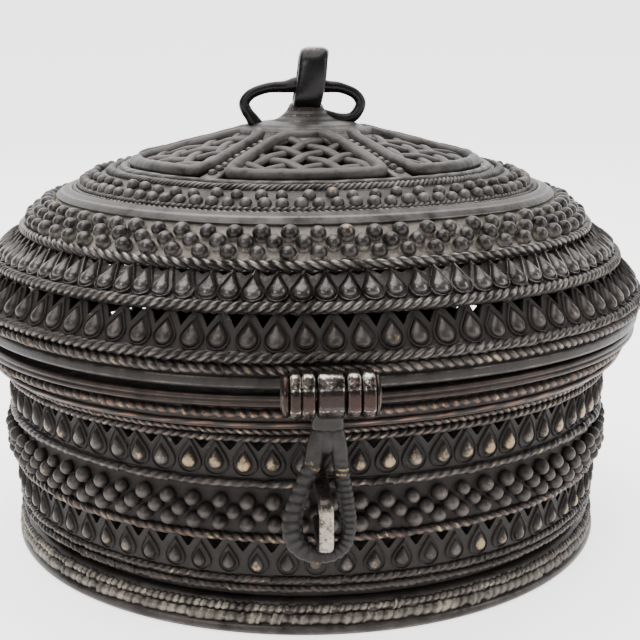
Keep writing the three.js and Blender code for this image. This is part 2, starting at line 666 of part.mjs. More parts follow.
// Rear hinge: the outer knuckles are the base's and the middle one is the lid's
const baseTabZ = rimTopZ - (rimEdgeHeight + TAB_HEIGHT) / 2;
const baseTab = tabTo(rearHinge, rimRadius, outerInside, baseTabZ);
for (const [side, name] of [[-1, "rear_knuckle_left"], [1, "rear_knuckle_right"]]) {
  const geometry = knuckle(OUTER_KNUCKLE_WIDTH, baseTab);
  add(name, placed(geometry, OUTER_KNUCKLE_WIDTH, side * outerMiddle, rearHinge), worn);
}
const lidTabZ = lidZ + 0.4;
const middleGeometry = knuckle(MIDDLE_KNUCKLE_WIDTH, tabTo(rearHinge, lidEdgeRadius, 0, lidTabZ));
add("rear_knuckle_middle", placed(middleGeometry, MIDDLE_KNUCKLE_WIDTH, 0, rearHinge), worn, lid);
add("rear_hinge_pin", pin(rearHinge), worn);

// Front hinge: the outer knuckles are the lid's and the middle one is the hasp's
const frontTab = tabTo(frontHinge, lidEdgeRadius, outerInside, lidTabZ);
for (const [side, name] of [[-1, "front_knuckle_left"], [1, "front_knuckle_right"]]) {
  const geometry = knuckle(OUTER_KNUCKLE_WIDTH, frontTab);
  add(name, placed(geometry, OUTER_KNUCKLE_WIDTH, side * outerMiddle, frontHinge), worn, lid);
}
add("hasp_pin", pin(frontHinge), worn, lid);

// The hasp: a knuckle whose back runs down as a short strap, and under it a loop of twisted rope
const hasp = new THREE.Group();
lid.add(hasp);
const haspKnuckle = new THREE.Shape([
  at(-flat, -STRAP_DROP),
  at(-flat + HASP_THICKNESS, -STRAP_DROP),
  at(-flat + HASP_THICKNESS, -flat),
  ...octagon.slice(2),
]);
haspKnuckle.holes.push(pinHole());
const haspKnuckleGeometry = new THREE.ExtrudeGeometry(haspKnuckle, {
  depth: MIDDLE_KNUCKLE_WIDTH, bevelEnabled: false, curveSegments: 5,
});
add("hasp_knuckle", placed(haspKnuckleGeometry, MIDDLE_KNUCKLE_WIDTH, 0, frontHinge), worn, hasp);

// A pear shape from its neck down to its tip, in the plane of the hasp, measured from the pin's centre. fullness
// says how round the foot is: a low value draws it to a point.
function pear(neckHalf, neckDrop, bellyHalf, bellyDrop, tipDrop, fullness) {
  const path = new THREE.Path();
  const foot = fullness * bellyHalf;
  path.moveTo(-neckHalf, -neckDrop);
  const shoulderDrop = bellyDrop - PEAR_EASE;
  const heelDrop = bellyDrop + 0.6 * PEAR_EASE;
  path.bezierCurveTo(-neckHalf, -neckDrop - PEAR_EASE / 2, -bellyHalf, -shoulderDrop, -bellyHalf, -bellyDrop);
  path.bezierCurveTo(-bellyHalf, -heelDrop, -foot, -tipDrop, 0, -tipDrop);
  path.bezierCurveTo(foot, -tipDrop, bellyHalf, -heelDrop, bellyHalf, -bellyDrop);
  path.bezierCurveTo(bellyHalf, -shoulderDrop, neckHalf, -neckDrop - PEAR_EASE / 2, neckHalf, -neckDrop);
  return path;
}
const bellyDrop = 0.69 * HASP_DROP;
const loopTop = STRAP_DROP + CLEARANCE;
const haspLoop = new THREE.Shape(
  pear(HASP_NECK_HALF_WIDTH, loopTop, LOOP_HALF_WIDTH, bellyDrop, HASP_DROP, HASP_FULLNESS).getPoints(5),
);
const openingBelly = LOOP_HALF_WIDTH - HASP_ROPE;
const openingFoot = HASP_DROP - HASP_ROPE;
haspLoop.holes.push(new THREE.Path(
  pear(1.0, loopTop + 5.4, openingBelly, bellyDrop, openingFoot, HASP_EYE_FULLNESS).getPoints(5).reverse(),
));
const haspBevel = 0.9;
const haspLoopGeometry = new THREE.ExtrudeGeometry(haspLoop, {
  depth: HASP_THICKNESS - 2 * haspBevel,
  bevelThickness: haspBevel,
  bevelSize: haspBevel,
  bevelOffset: -haspBevel,
  bevelSegments: 1,
});
haspLoopGeometry.translate(0, 0, haspBevel).rotateX(Math.PI / 2);
const haspLoopMesh = add("hasp_loop", haspLoopGeometry, patina, hasp);
haspLoopMesh.position.set(0, -(frontPivotRadius - flat), frontPivotZ);
haspLoopMesh.rotation.y = HASP_LEAN;

// The staple: an eye on edge, set in the band of beads, that stands out through the hasp's loop
const stapleRoot = onWall(...baseWall, frontPivotZ - STAPLE_CENTRE_DROP).x + BEAD_PROUD + CLEARANCE;
function eye(root, reach, halfHeight) {
  const nose = halfHeight * 0.7;
  const path = new THREE.Path();
  path.moveTo(root, -halfHeight);
  path.lineTo(reach - nose, -halfHeight);
  path.bezierCurveTo(reach - nose / 3, -halfHeight, reach, -halfHeight / 2, reach, 0);
  path.bezierCurveTo(reach, halfHeight / 2, reach - nose / 3, halfHeight, reach - nose, halfHeight);
  path.lineTo(root, halfHeight);
  return path;
}
const stapleShape = new THREE.Shape(eye(stapleRoot, stapleReach, STAPLE_HEIGHT / 2).getPoints(4));
stapleShape.holes.push(new THREE.Path(
  eye(stapleRoot + STAPLE_BAND, stapleReach - STAPLE_BAND, STAPLE_HEIGHT / 2 - STAPLE_BAND).getPoints(4).reverse(),
));
const stapleGeometry = new THREE.ExtrudeGeometry(stapleShape, { depth: STAPLE_THICKNESS, bevelEnabled: false });
stapleGeometry.translate(0, 0, -STAPLE_THICKNESS / 2).rotateX(Math.PI / 2).rotateZ(-Math.PI / 2);
stapleGeometry.translate(STAPLE_SHIFT, 0, frontPivotZ - STAPLE_CENTRE_DROP);
add("staple", stapleGeometry, worn);

export default box;
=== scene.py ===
"""Round lidded openwork box in cast brass, dressed for rendering.

Lengths are in millimetres, which become metres when a piece is made. The studio is laid out in metres.
"""

import json
import math

import bpy
import numpy as np
from mathutils import Euler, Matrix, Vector

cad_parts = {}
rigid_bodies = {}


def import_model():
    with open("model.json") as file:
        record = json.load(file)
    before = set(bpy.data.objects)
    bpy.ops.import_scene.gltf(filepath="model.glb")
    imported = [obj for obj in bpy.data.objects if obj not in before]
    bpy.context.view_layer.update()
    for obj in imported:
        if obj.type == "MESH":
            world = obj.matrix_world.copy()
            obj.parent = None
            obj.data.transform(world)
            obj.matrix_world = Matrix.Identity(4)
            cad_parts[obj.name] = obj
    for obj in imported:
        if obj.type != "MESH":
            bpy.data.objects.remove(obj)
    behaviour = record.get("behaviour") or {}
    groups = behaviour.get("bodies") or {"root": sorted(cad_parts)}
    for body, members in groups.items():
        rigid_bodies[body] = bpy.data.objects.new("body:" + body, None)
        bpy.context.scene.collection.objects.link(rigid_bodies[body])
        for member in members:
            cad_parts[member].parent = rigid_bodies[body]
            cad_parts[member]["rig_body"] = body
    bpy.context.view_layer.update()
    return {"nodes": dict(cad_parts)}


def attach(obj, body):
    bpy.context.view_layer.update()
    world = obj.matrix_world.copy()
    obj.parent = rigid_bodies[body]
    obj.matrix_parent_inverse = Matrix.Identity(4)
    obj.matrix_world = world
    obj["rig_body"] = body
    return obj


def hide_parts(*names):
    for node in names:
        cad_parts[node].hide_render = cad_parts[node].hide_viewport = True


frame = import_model()

# The camera stands a little left of the hasp and looks slightly down, close to the box, as in the
# photograph. It sees the box through the plain middle of a short telephoto lens.
MM = 0.001
CAMERA_PLACE = Vector((-16.4, -324.6, 129.7))
LOOKING_DOWN = math.radians(13.02)
HEADING = math.radians(3.56)


def in_scene(name, data):
    """A new object that stands in the scene"""
    made = bpy.data.objects.new(name, data)
    bpy.context.scene.collection.objects.link(made)
    return made


camera = in_scene("camera", bpy.data.cameras.new("camera"))
camera.location = CAMERA_PLACE * MM
camera.rotation_euler = Euler((math.pi / 2 - LOOKING_DOWN, 0, -HEADING))
camera.data.lens = 67.05
camera.data.sensor_width = 36
camera.data.clip_start = 0.01
bpy.context.scene.camera = camera

# Studio: a white seamless sweep under and behind the box, one large soft light overhead, a weaker one from
# the front left, and a strip from the right that draws the edges of the beads and drops.
SWEEP_HALF_WIDTH, SWEEP_FRONT, SWEEP_BEND, SWEEP_RADIUS, SWEEP_TOP = 6.0, -9.0, 2.4, 1.6, 5.0


def soft_light(name, place, aim, width, height, watts):
    """A white oblong light at a place, turned to the point that it is aimed at"""
    lamp = bpy.data.lights.new(name, "AREA")
    lamp.shape = "RECTANGLE"
    lamp.size, lamp.size_y = width, height
    lamp.energy = watts
    light = in_scene(name, lamp)
    light.location = place
    light.rotation_euler = (Vector(aim) - Vector(place)).to_track_quat("-Z", "Y").to_euler()


soft_light("overhead", (-0.1, 0.05, 0.95), (0, 0, 0.05), 1.1, 0.9, 17)
soft_light("front_left", (-0.75, -0.95, 0.75), (0, 0, 0.06), 0.5, 0.5, 6)
soft_light("right_strip", (0.95, -0.35, 0.45), (0, 0, 0.06), 0.25, 0.8, 5)

world = bpy.data.worlds.new("studio")
world.use_nodes = True
world.node_tree.nodes["Background"].inputs["Color"].default_value = (0.95, 0.96, 0.98, 1)
world.node_tree.nodes["Background"].inputs["Strength"].default_value = 0.55
bpy.context.scene.world = world

sweep_line = [(SWEEP_FRONT, 0.0), (SWEEP_BEND, 0.0)]
for turn in np.linspace(0.1, math.pi / 2, 14):
    back, up = SWEEP_RADIUS * math.sin(turn), SWEEP_RADIUS - SWEEP_RADIUS * math.cos(turn)
    sweep_line.append((SWEEP_BEND + back, up))
sweep_line.append((SWEEP_BEND + SWEEP_RADIUS, SWEEP_TOP))
sweep_mesh = bpy.data.meshes.new("sweep")
sweep_mesh.from_pydata(
    [(side * SWEEP_HALF_WIDTH, y, z) for y, z in sweep_line for side in (-1, 1)],
    [],
    [(2 * i, 2 * i + 1, 2 * i + 3, 2 * i + 2) for i in range(len(sweep_line) - 1)],
)
sweep_mesh.shade_smooth()
sweep = in_scene("sweep", sweep_mesh)
paper = bpy.data.materials.new("paper")
paper.use_nodes = True
paper_shader = paper.node_tree.nodes["Principled BSDF"]
paper_shader.inputs["Base Color"].default_value = (0.9, 0.9, 0.9, 1)
paper_shader.inputs["Roughness"].default_value = 0.9
paper_shader.inputs["Emission Color"].default_value = (1, 1, 1, 1)
paper_shader.inputs["Emission Strength"].default_value = 2.0
sweep_mesh.materials.append(paper)

# Foot: a smooth lip that stands on the table, and over it a braid of two rows. Handling has worn the braid
# down to pale metal, while the black of the casting stays in its gaps.

# where a Mix node takes its two colours, and where it gives the mixed one
MIX_UNDER, MIX_OVER, MIX_COLOUR = 6, 7, 2


class Tone:
    """A socket of a material's nodes. Arithmetic on it adds Math nodes."""

    def __init__(self, tree, socket=None):
        self.tree, self.socket = tree, socket

    def node(self, kind, sockets, output=0, **settings):
        """A new node: its settings come first, then the values or links of its sockets"""
        made = self.tree.nodes.new(kind)
        for name, value in settings.items():
            setattr(made, name, value)
        for name, value in sockets.items():
            if isinstance(value, Tone):
                self.tree.links.new(value.socket, made.inputs[name])
            else:
                made.inputs[name].default_value = value
        return Tone(self.tree, made.outputs[output])

    def maths(self, operation, first, second):
        return self.node("ShaderNodeMath", {0: first, 1: second}, operation=operation, use_clamp=False)

    def __add__(self, other):
        return self.maths("ADD", self, other)

    def __sub__(self, other):
        return self.maths("SUBTRACT", self, other)

    def __rsub__(self, other):
        return self.maths("SUBTRACT", other, self)

    def __mul__(self, other):
        return self.maths("MULTIPLY", self, other)

    __radd__ = __add__
    __rmul__ = __mul__

    def between(self, low, high):
        """0 below low, 1 above high, and smooth between them"""
        return self.node(
            "ShaderNodeMapRange",
            {"Value": self, "From Min": low, "From Max": high},
            interpolation_type="SMOOTHSTEP",
        )

    def mixed(self, under, over):
        """The colour under where this is 0, and the colour over where it is 1"""
        under, over = (colour if isinstance(colour, Tone) else (*colour, 1) for colour in (under, over))
        sockets = {"Factor": self, MIX_UNDER: under, MIX_OVER: over}
        return self.node("ShaderNodeMix", sockets, output=MIX_COLOUR, data_type="RGBA", clamp_factor=True)


BLACK_BROWN = (0.0118, 0.0092, 0.0079)
GUNMETAL = (0.041, 0.0355, 0.0325)
OLD_COPPER = (0.125, 0.076, 0.058)
GREY_METAL = (0.107, 0.095, 0.0875)
WORN_BRASS = (0.27, 0.2, 0.12)
DUST = (0.27, 0.243, 0.209)


def cast_brass(
    name, rub, wear, dust=0.2, shade=GUNMETAL, rubbed=GREY_METAL, bare=WORN_BRASS, matt=0.4, pits=0.55
):
    """Patinated cast brass: black-brown in the hollows, rubbed metal on what stands proud, bare brass where
    it is touched most, and dust that settles low. rub, wear and dust say how much of each there is, from 0
    to 1. shade, rubbed and bare are the colours from the patina up, matt is how rough the proud metal is,
    and pits is how strong its fine pitting is."""
    material = bpy.data.materials.new(f"{name}_brass")
    material.use_nodes = True
    tree = material.node_tree
    shader = tree.nodes["Principled BSDF"]
    start = Tone(tree)
    place = start.node("ShaderNodeTexCoord", {}, output="Object")
    rise = start.node("ShaderNodeAttribute", {}, output="Fac", attribute_name="rise")
    touch = start.node("ShaderNodeAttribute", {}, output="Fac", attribute_name="touch")

    def mottle(scale, detail):
        sockets = {"Vector": place, "Scale": scale, "Detail": detail, "Roughness": 0.6}
        return start.node("ShaderNodeTexNoise", sockets, output="Fac")

    clouds, blotches, grain = mottle(28, 3), mottle(210, 4), mottle(1500, 3)
    patchy, speckled = blotches - 0.5, grain - 0.5
    proud = (rise + patchy * 0.5).between(0.05, 0.5)
    patina = (proud * (clouds * 0.4 + blotches * 0.6).between(0.3, 0.6)).mixed(BLACK_BROWN, shade)

    rub_mask = (rise + patchy * 0.9 + speckled * 0.5).between(1.02 - 0.75 * rub, 1.45 - 0.6 * rub)
    bare_mask = (rise * touch + patchy * 0.8 + speckled * 1.1).between(0.88 - wear, 1.32 - wear)
    dust_mask = (1 - rise + patchy * 0.8 + speckled * 0.4).between(1.15 - 0.75 * dust, 1.5 - 0.6 * dust)

    rub_tone = clouds.between(0.35, 0.65).mixed([0.7 * c for c in rubbed], rubbed)
    bare_tone = blotches.between(0.35, 0.7).mixed([0.6 * c for c in bare], bare)
    colour = bare_mask.mixed(dust_mask.mixed(rub_mask.mixed(patina, rub_tone), DUST), bare_tone)
    tree.links.new(colour.socket, shader.inputs["Base Color"])
    shader.inputs["Specular IOR Level"].default_value = 0.2

    metal = 0.1 + proud * 0.5 + rub_mask * 0.35 - dust_mask * 0.75 + bare_mask * 0.5
    tree.links.new(metal.between(0, 1).socket, shader.inputs["Metallic"])
    rough = matt + 0.2 - proud * 0.2 + speckled * 0.25 + patchy * 0.3 + dust_mask * 0.3
    tree.links.new(rough.socket, shader.inputs["Roughness"])
    relief = start.node(
        "ShaderNodeBump",
        {"Strength": pits, "Distance": 0.00012, "Height": grain * 0.7 + mottle(520, 2) * 0.9},
        output="Normal",
    )
    tree.links.new(relief.socket, shader.inputs["Normal"])
    return material


FREE_HEIGHT, FREE_RADIUS = 20, 40
RIM_TILT, TILT_FROM, TILT_OVER = 0.0088, 36, 20


def by_hand(points, body):
    """Points as wax laid by hand, never quite true. The base rises to its right from TILT_FROM up."""
    x, y, z = points[..., 0], points[..., 1], points[..., 2]
    angle, radius = np.arctan2(x, -y), np.hypot(x, y)
    free = np.clip(z / FREE_HEIGHT, 0, 1) * np.clip(radius / FREE_RADIUS, 0, 1)
    out = free * (0.12 * np.sin(3 * angle + 0.06 * z) + 0.07 * np.sin(8 * angle - 0.2 * z))
    up = free * (0.15 * np.sin(2 * angle) + 0.1 * np.sin(5 * angle))
    if body == "base":
        share = np.clip((z - TILT_FROM) / TILT_OVER, 0, 1)
        up = up + RIM_TILT * x * share * share * (3 - 2 * share)
    swell = 1 + out / np.maximum(radius, 1)
    return np.stack([x * swell, y * swell, z + up], axis=-1)


def circle(count):
    """The angles of count points round a circle"""
    return np.linspace(0, math.tau, count, endpoint=False)


def on_ring(radius, angle, height):
    """Points round the box's axis, from the front on towards the right"""
    return np.stack([radius * np.sin(angle), -radius * np.cos(angle), height], -1)


def skin(loops, around=False):
    """Closed solids from loops of points, as an array [solid, loop, point, xyz]. Each loop joins the next,
    and the last joins the first, or both ends are closed by a fan."""
    solids, count, size, _ = loops.shape
    loop, point = np.meshgrid(np.arange(count if around else count - 1), np.arange(size), indexing="ij")
    after, beside = (loop + 1) % count, (point + 1) % size
    quads = [loop * size + point, loop * size + beside, after * size + beside, after * size + point]
    quads = np.stack(quads, -1).reshape(-1, 4)
    points = loops.reshape(solids, -1, 3)
    fans = np.empty((0, 3), int)
    if not around:
        ring, following = np.arange(size), (np.arange(size) + 1) % size
        first, last = count * size, count * size + 1
        points = np.concatenate([points, loops[:, 0].mean(1)[:, None], loops[:, -1].mean(1)[:, None]], 1)
        top = (count - 1) * size
        fans = np.concatenate([
            np.stack([following, ring, np.full(size, first)], -1),
            np.stack([top + ring, top + following, np.full(size, last)], -1),
        ])
    step = points.shape[1]
    corners = points[0][quads] - points[0].mean(0)
    volume = np.einsum("ij,ij->i", corners[:, 0], np.cross(corners[:, 1], corners[:, 2])).sum()
    volume += np.einsum("ij,ij->i", corners[:, 0], np.cross(corners[:, 2], corners[:, 3])).sum()
    if volume < 0:
        quads, fans = quads[:, ::-1], fans[:, ::-1]
    shift = np.arange(solids)[:, None, None] * step
    faces = (quads[None] + shift).reshape(-1, 4).tolist() + (fans[None] + shift).reshape(-1, 3).tolist()
    return points.reshape(-1, 3), faces


def with_ends(values, ends):
    """A value for each point of skin()'s solids, from an array [solid, loop, point] and two end values"""
    caps = np.tile(np.asarray(ends, float), (values.shape[0], 1))
    return np.concatenate([values.reshape(values.shape[0], -1), caps], 1).reshape(-1)


def joined(*forms):
    """Several forms as one. A form is points, faces, and how proud and how much touched each point is."""
    points, faces, rises, touches, count = [], [], [], [], 0
    for some_points, some_faces, rise, touch in forms:
        points.append(some_points)
        faces += [[corner + count for corner in face] for face in some_faces]
        rises.append(np.broadcast_to(rise, len(some_points)))
        touches.append(np.broadcast_to(touch, len(some_points)))
        count += len(some_points)
    return np.concatenate(points), faces, np.concatenate(rises), np.concatenate(touches)


def piece(name, node, form, finish, crease=50):
    """Makes the piece that stands for a CAD node, and lets it ride on that node's body."""
    points, faces, rise, touch = form
    body = frame["nodes"][node]["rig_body"]
    mesh = bpy.data.meshes.new(name)
    mesh.from_pydata((by_hand(points, body) * MM).tolist(), [], faces)
    mesh.shade_smooth()
    mesh.set_sharp_from_angle(angle=math.radians(crease))
    for label, values in (("rise", rise), ("touch", touch)):
        attribute = mesh.attributes.new(label, "FLOAT", "POINT")
        attribute.data.foreach_set("value", np.broadcast_to(values, len(points)).astype(np.float32))
    mesh.materials.append(finish)
    made = in_scene(name, mesh)
    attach(made, body)
    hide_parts(node)


CORNER_STEPS = (0, 0.33, 0.67, 1)
WALL_TOUCH = 0.4


def rounded(section, fillet):
    """A closed section [(out, up), ...], drawn anticlockwise and rounded, and how proud its points are"""
    corners = np.array(section, float)
    points, rise = [], []
    for before, corner, after in zip(np.roll(corners, 1, 0), corners, np.roll(corners, -1, 0)):
        back, on = before - corner, after - corner
        turn = back[0] * on[1] - back[1] * on[0]
        reach = min(fillet, 0.4 * np.linalg.norm(back), 0.4 * np.linalg.norm(on))
        start = corner + back / np.linalg.norm(back) * reach
        end = corner + on / np.linalg.norm(on) * reach
        for share in CORNER_STEPS:
            points.append((1 - share) ** 2 * start + 2 * share * (1 - share) * corner + share**2 * end)
            rise.append(0.5 + 0.5 * math.sin(math.pi * share) * (1 if turn < 0 else -1))
    return np.array(points), np.array(rise)


def wall(section, fillet=0.4, segments=288, level=1.0):
    """A ring turned from a closed section. level is how proud its corners count, as one number or several."""
    outline, rise = rounded(section, fillet)
    angle = circle(segments)[:, None]
    loops = on_ring(outline[:, 0], angle, outline[:, 1] + 0 * angle)
    points, faces = skin(loops[None], around=True)
    level = np.repeat(np.broadcast_to(level, len(section)), len(CORNER_STEPS))
    return points, faces, np.tile(level * rise, segments), WALL_TOUCH


def rope(
    radius, height, width, proud, turns, groove, seed, lean=1, strands=2, slope=0.0, uneven=0.05, fade=0.0,
    low=0.25,
):
    """Twisted rope laid round a wall: turns counts the strands that cross its face, groove is the depth
    between them, lean is 1 for strands that rise to the right and -1 for strands that fall, strands is how
    far each one winds on across the face, slope is the wall's lean inwards in degrees, uneven is how much
    the strands differ, fade is how much less worn the right of the rope is than its left, and low is how
    proud its grooves count."""
    per_strand, around_section = 6, 11
    phase = np.arange(turns * per_strand)[:, None] / per_strand
    face = np.radians(np.linspace(-125, 125, around_section))[None, :]
    chance = np.random.default_rng(seed)
    along = math.tau * (phase + lean * face / math.tau * strands) / turns
    crest = np.abs(np.cos(math.pi * phase)) + 0 * face
    size = 1 - groove * (1 - crest**0.8)
    size = size * (1 + uneven * chance.standard_normal(turns)[:, None].repeat(per_strand, 0))
    outward = size * proud * np.cos(face)
    upward = size * width / 2 * np.sin(face)
    tip = math.radians(slope)
    r = radius + outward * math.cos(tip) - upward * math.sin(tip)
    z = height + outward * math.sin(tip) + upward * math.cos(tip)
    rise = np.clip(low + (1 - low) * crest * np.cos(face), 0, 1)
    worn = 0.55 + 0.25 * chance.standard_normal(turns) - fade * np.sin(math.tau * np.arange(turns) / turns)
    touch = np.clip(worn, 0, 1).repeat(per_strand * around_section)
    points, faces = skin(on_ring(r, along, z)[None], around=True)
    return points, faces, rise.reshape(-1), touch


foot_lip = wall(
    [(71.8, 0), (79.6, 0), (80.5, 0.9), (80.5, 2.3), (79.2, 3.0), (79.1, 7.2), (77.9, 8.2), (71.8, 8.2)], 0.6
)
piece("foot_lip", "foot_ring", foot_lip, cast_brass("foot", wear=0.05, rub=0.4, dust=0.1))
braid = joined(
    rope(78.9, 6.4, 2.0, 1.15, 287, strands=1, groove=0.24, uneven=0.13, seed=3, fade=0.35, low=0.5),
    rope(78.9, 3.9, 3.2, 1.4, 209, strands=1, groove=0.15, uneven=0.1, seed=4, fade=0.35, low=0.6),
)
braid_finish = cast_brass(
    "braid", rubbed=(0.13, 0.116, 0.1), rub=0.75, bare=(0.24, 0.212, 0.172), wear=0.4, dust=0.1, matt=0.5
)
piece("foot_braid_worn", "foot_braid", braid, braid_finish)

# Plinth and floor: a deep dark groove over the foot, topped by two thin cords, and the plain round floor of
# the box. They are black with age, and only the cords are rubbed a little.
plinth = wall([(74.2, 8.2), (76.8, 8.2), (76.8, 10.0), (78.7, 10.6), (78.7, 14.4), (74.2, 14.4)], level=0.3)
piece("plinth_groove", "plinth", plinth, cast_brass("plinth", rub=0.2, wear=0.0, dust=0.1, matt=0.5))
plinth_cords = joined(
    rope(78.6, 11.1, 1.9, 1.2, 252, lean=-1, groove=0.22, uneven=0.1, seed=5),
    rope(78.7, 13.2, 1.9, 1.1, 252, groove=0.22, uneven=0.1, seed=6),
)
piece(
    "plinth_cords", "plinth_rope", plinth_cords,
    cast_brass("plinth_rope", rubbed=OLD_COPPER, rub=0.22, wear=0.12),
)
floor_disc = wall([(0.4, 8.2), (73.9, 8.2), (73.9, 10.6), (0.4, 10.6)], 0.2, 96)
piece("floor_disc", "base_floor", floor_disc, cast_brass("floor", rub=0.1, wear=0.0, dust=0.35, matt=0.55))

# Lower drops of the base: teardrops in rings of wax wire, side by side on a thin web that is cut away
# between their tips. Fingers have polished the fat end of many drops down to the brass.
LOW_DROPS_FOOT, BASE_BEADS_FOOT = (79.2, 14.4), (79.55, 22.4)
WIRED_DROP = [
    (1.07, -1.2), (1.06, -0.3), (1.03, 0.05), (0.99, 0.36), (0.95, 0.44), (0.91, 0.34), (0.87, -0.1),
    (0.7, -0.22), (0.62, 0.0), (0.58, 0.45), (0.5, 0.85), (0.36, 1.15), (0.17, 1.32), (0.05, 1.35),
]


def on_wall(low, high, angle, u, v, w):
    """The point u round a sloping wall from an angle, v up along its slope, and w proud of it"""
    length = math.dist(low, high)
    run, climb = (high[0] - low[0]) / length, (high[1] - low[1]) / length
    surface = low[0] + run * v
    r = surface + climb * w
    z = low[1] + climb * v - run * w
    return on_ring(r, angle + u / surface, z)


def drops(
    low, high, count, half_width, belly, tip, notch, handled, seed, section=WIRED_DROP, core=0.65, scale=1.0,
    open_from=0.4, phase=0.0, side=1.0, ring=0.22, bulge=0.7,
):
    """A row of drops on a sloping wall. belly is how high the middle of the fat end sits and tip how high
    the point is, both along the wall. section gives (share of the outline, proud) from the outside in, and
    what is under core of it is the drop itself. notch and open_from say how far down and from where the web
    is cut away, handled is how much the drops are touched, side turns more wear to the right, ring is how
    proud the wire counts, and bulge over 1 fills the drop out towards its tip."""
    chance = np.random.default_rng(seed)
    around = circle(24)
    slant = np.abs((around + math.pi) % math.tau - math.pi)
    tapered = math.acos(((tip - belly) / half_width) ** (-1 / bulge))
    edge = half_width / np.cos(np.maximum(0, tapered - slant)) ** bulge
    share = np.array([s for s, _ in section])[:, None]
    proud = np.array([w for _, w in section])[:, None]
    u0 = share * edge * np.sin(around)
    v0 = share * edge * np.cos(around)
    w0 = proud * scale + 0 * u0
    lean = chance.normal(0, 0.05, count)[:, None, None]
    grow = 1 + chance.normal(0, 0.03, count)[:, None, None]
    inner = (share < core)[None]
    nudge = chance.normal(0, 0.15, (2, count))[:, :, None, None] * inner
    u = (u0 * np.cos(lean) + v0 * np.sin(lean)) * grow + nudge[0]
    v = (v0 * np.cos(lean) - u0 * np.sin(lean)) * grow + belly + nudge[1]
    w = w0 * (1 + chance.normal(0, 0.08, count)[:, None, None] * inner)
    angles = math.tau * (np.arange(count) + phase) / count + chance.normal(0, 0.12, count) / low[0]
    points, faces = skin(on_wall(low, high, angles[:, None, None], u, v, w))
    streak = np.clip(0.85 - 0.22 * v0 / half_width, 0.3, 1.05)
    drop_crest, wire_crest = np.clip((proud - 0.15) / 1.1, 0, 1) * streak, ring * np.clip(proud / 0.45, 0, 1)
    crest = np.where(share < core, drop_crest, wire_crest)
    rise = with_ends(np.broadcast_to(crest, u.shape), (0, 0.75))
    worn = np.clip(handled + 0.25 * side * np.sin(angles) + chance.normal(0, 0.2, count), 0.02, 1.1)
    touch = with_ends(worn[:, None, None] * (share < core) + 0 * u, (0, 0))
    touch.reshape(count, -1)[:, -1] = worn

    # the web behind the drops, notched between their tips
    length = math.dist(low, high)
    per_drop = 12
    column = np.arange(count * per_drop)
    between = np.abs(((column / per_drop - phase + 0.5) % 1) - 0.5) * 2
    top = length * (1 - notch * np.clip((between - open_from) / (1 - open_from), 0, 1))
    v = np.stack([0 * top, 0 * top, top, top], -1)
    w = np.array([-1.5, -0.25, -0.25, -1.5]) + 0 * v
    web = on_wall(low, high, math.tau * column[:, None] / (count * per_drop), 0 * v, v, w)
    web_points, web_faces = skin(web[None], around=True)
    return joined((points, faces, rise, touch), (web_points, web_faces, 0.0, 0.0))


low_drops = drops(
    LOW_DROPS_FOOT, BASE_BEADS_FOOT, 76, 2.45, 2.6, 7.2, scale=0.8, notch=0.35, phase=0.7, handled=0.5,
    seed=11,
)
piece("low_drops", "base_drops_low", low_drops, cast_brass("low_drop", rub=0.46, wear=0.4, dust=0.03))

# Bead band of the base: three staggered rows of wax balls on a dark wall, held between two ropes. The lower
# rope is worn coppery, the upper one stays dark.


def balls(low, high, angles, heights, size, sink, seed):
    """Balls on a sloping wall, at angles round it and heights up along it, sunk by a share of their size"""
    uneven = 0.05
    chance = np.random.default_rng(seed)
    latitude = np.radians(np.array([-62, -38, -12, 14, 40, 62, 80]))[:, None]
    around = circle(12)[None]
    u0, v0 = np.cos(latitude) * np.cos(around), np.cos(latitude) * np.sin(around)
    w0 = np.sin(latitude) + 0 * around
    count = len(angles)
    radius = size / 2 * (1 + chance.normal(0, uneven, count))[:, None, None]
    v = v0 * radius + np.broadcast_to(heights, count)[:, None, None]
    w = (w0 + 1 - 2 * sink) * radius
    loops = on_wall(low, high, np.asarray(angles)[:, None, None], u0 * radius, v, w)
    points, faces = skin(loops)
    rise = with_ends(np.clip(0.05 + 0.95 * w0, 0, 1) + np.zeros((count, 1, 1)), (0, 1))
    touch = np.repeat(np.clip(chance.normal(0.42, 0.24, count), 0, 1), latitude.size * around.size + 2)
    return points, faces, rise, touch


def beads(low, high, rows, count, size, sink, seed, jitter):
    """Rows of balls round a sloping wall. Each row is (height along the wall, shift as a share of a step),
    and jitter is how far the balls stray from their places."""
    chance = np.random.default_rng(seed)
    made = []
    for height, shift in rows:
        angles = math.tau * (np.arange(count) + shift) / count + chance.normal(0, jitter, count) / low[0]
        heights = height + chance.normal(0, 0.6 * jitter, count)
        made.append(balls(low, high, angles, heights, size, sink, seed=seed + len(made)))
    return joined(*made)


BASE_BEADS_TOP = (80.2, 37.6)
base_bead_wall = wall(
    [(76.9, 22.4), (79.5, 22.4), (79.6, 24.6), (79.95, 35.2), BASE_BEADS_TOP, (77.6, 37.6)], 0.3, level=0.1
)
base_rows = [(4.8, 0.2), (7.3, 0.7), (9.9, 0.2)]
base_balls = beads(BASE_BEADS_FOOT, BASE_BEADS_TOP, base_rows, 82, 3.75, 0.26, 21, 0.14)
piece(
    "base_bead_rows", "base_bead_band", joined(base_bead_wall, base_balls),
    cast_brass("base_bead", rub=0.6, rubbed=(0.075, 0.065, 0.06), wear=0.12, dust=0.03, matt=0.5),
)
rope_low = rope(79.6, 23.6, 2.3, 1.4, 214, lean=-1, groove=0.24, uneven=0.1, seed=22)
piece(
    "rope_under_beads", "rope_below_beads", rope_low,
    cast_brass("rope_under_beads", rubbed=OLD_COPPER, rub=0.5, wear=0.22, dust=0.06),
)
rope_high = rope(80.1, 36.4, 2.2, 1.3, 190, groove=0.15, uneven=0.1, seed=23)
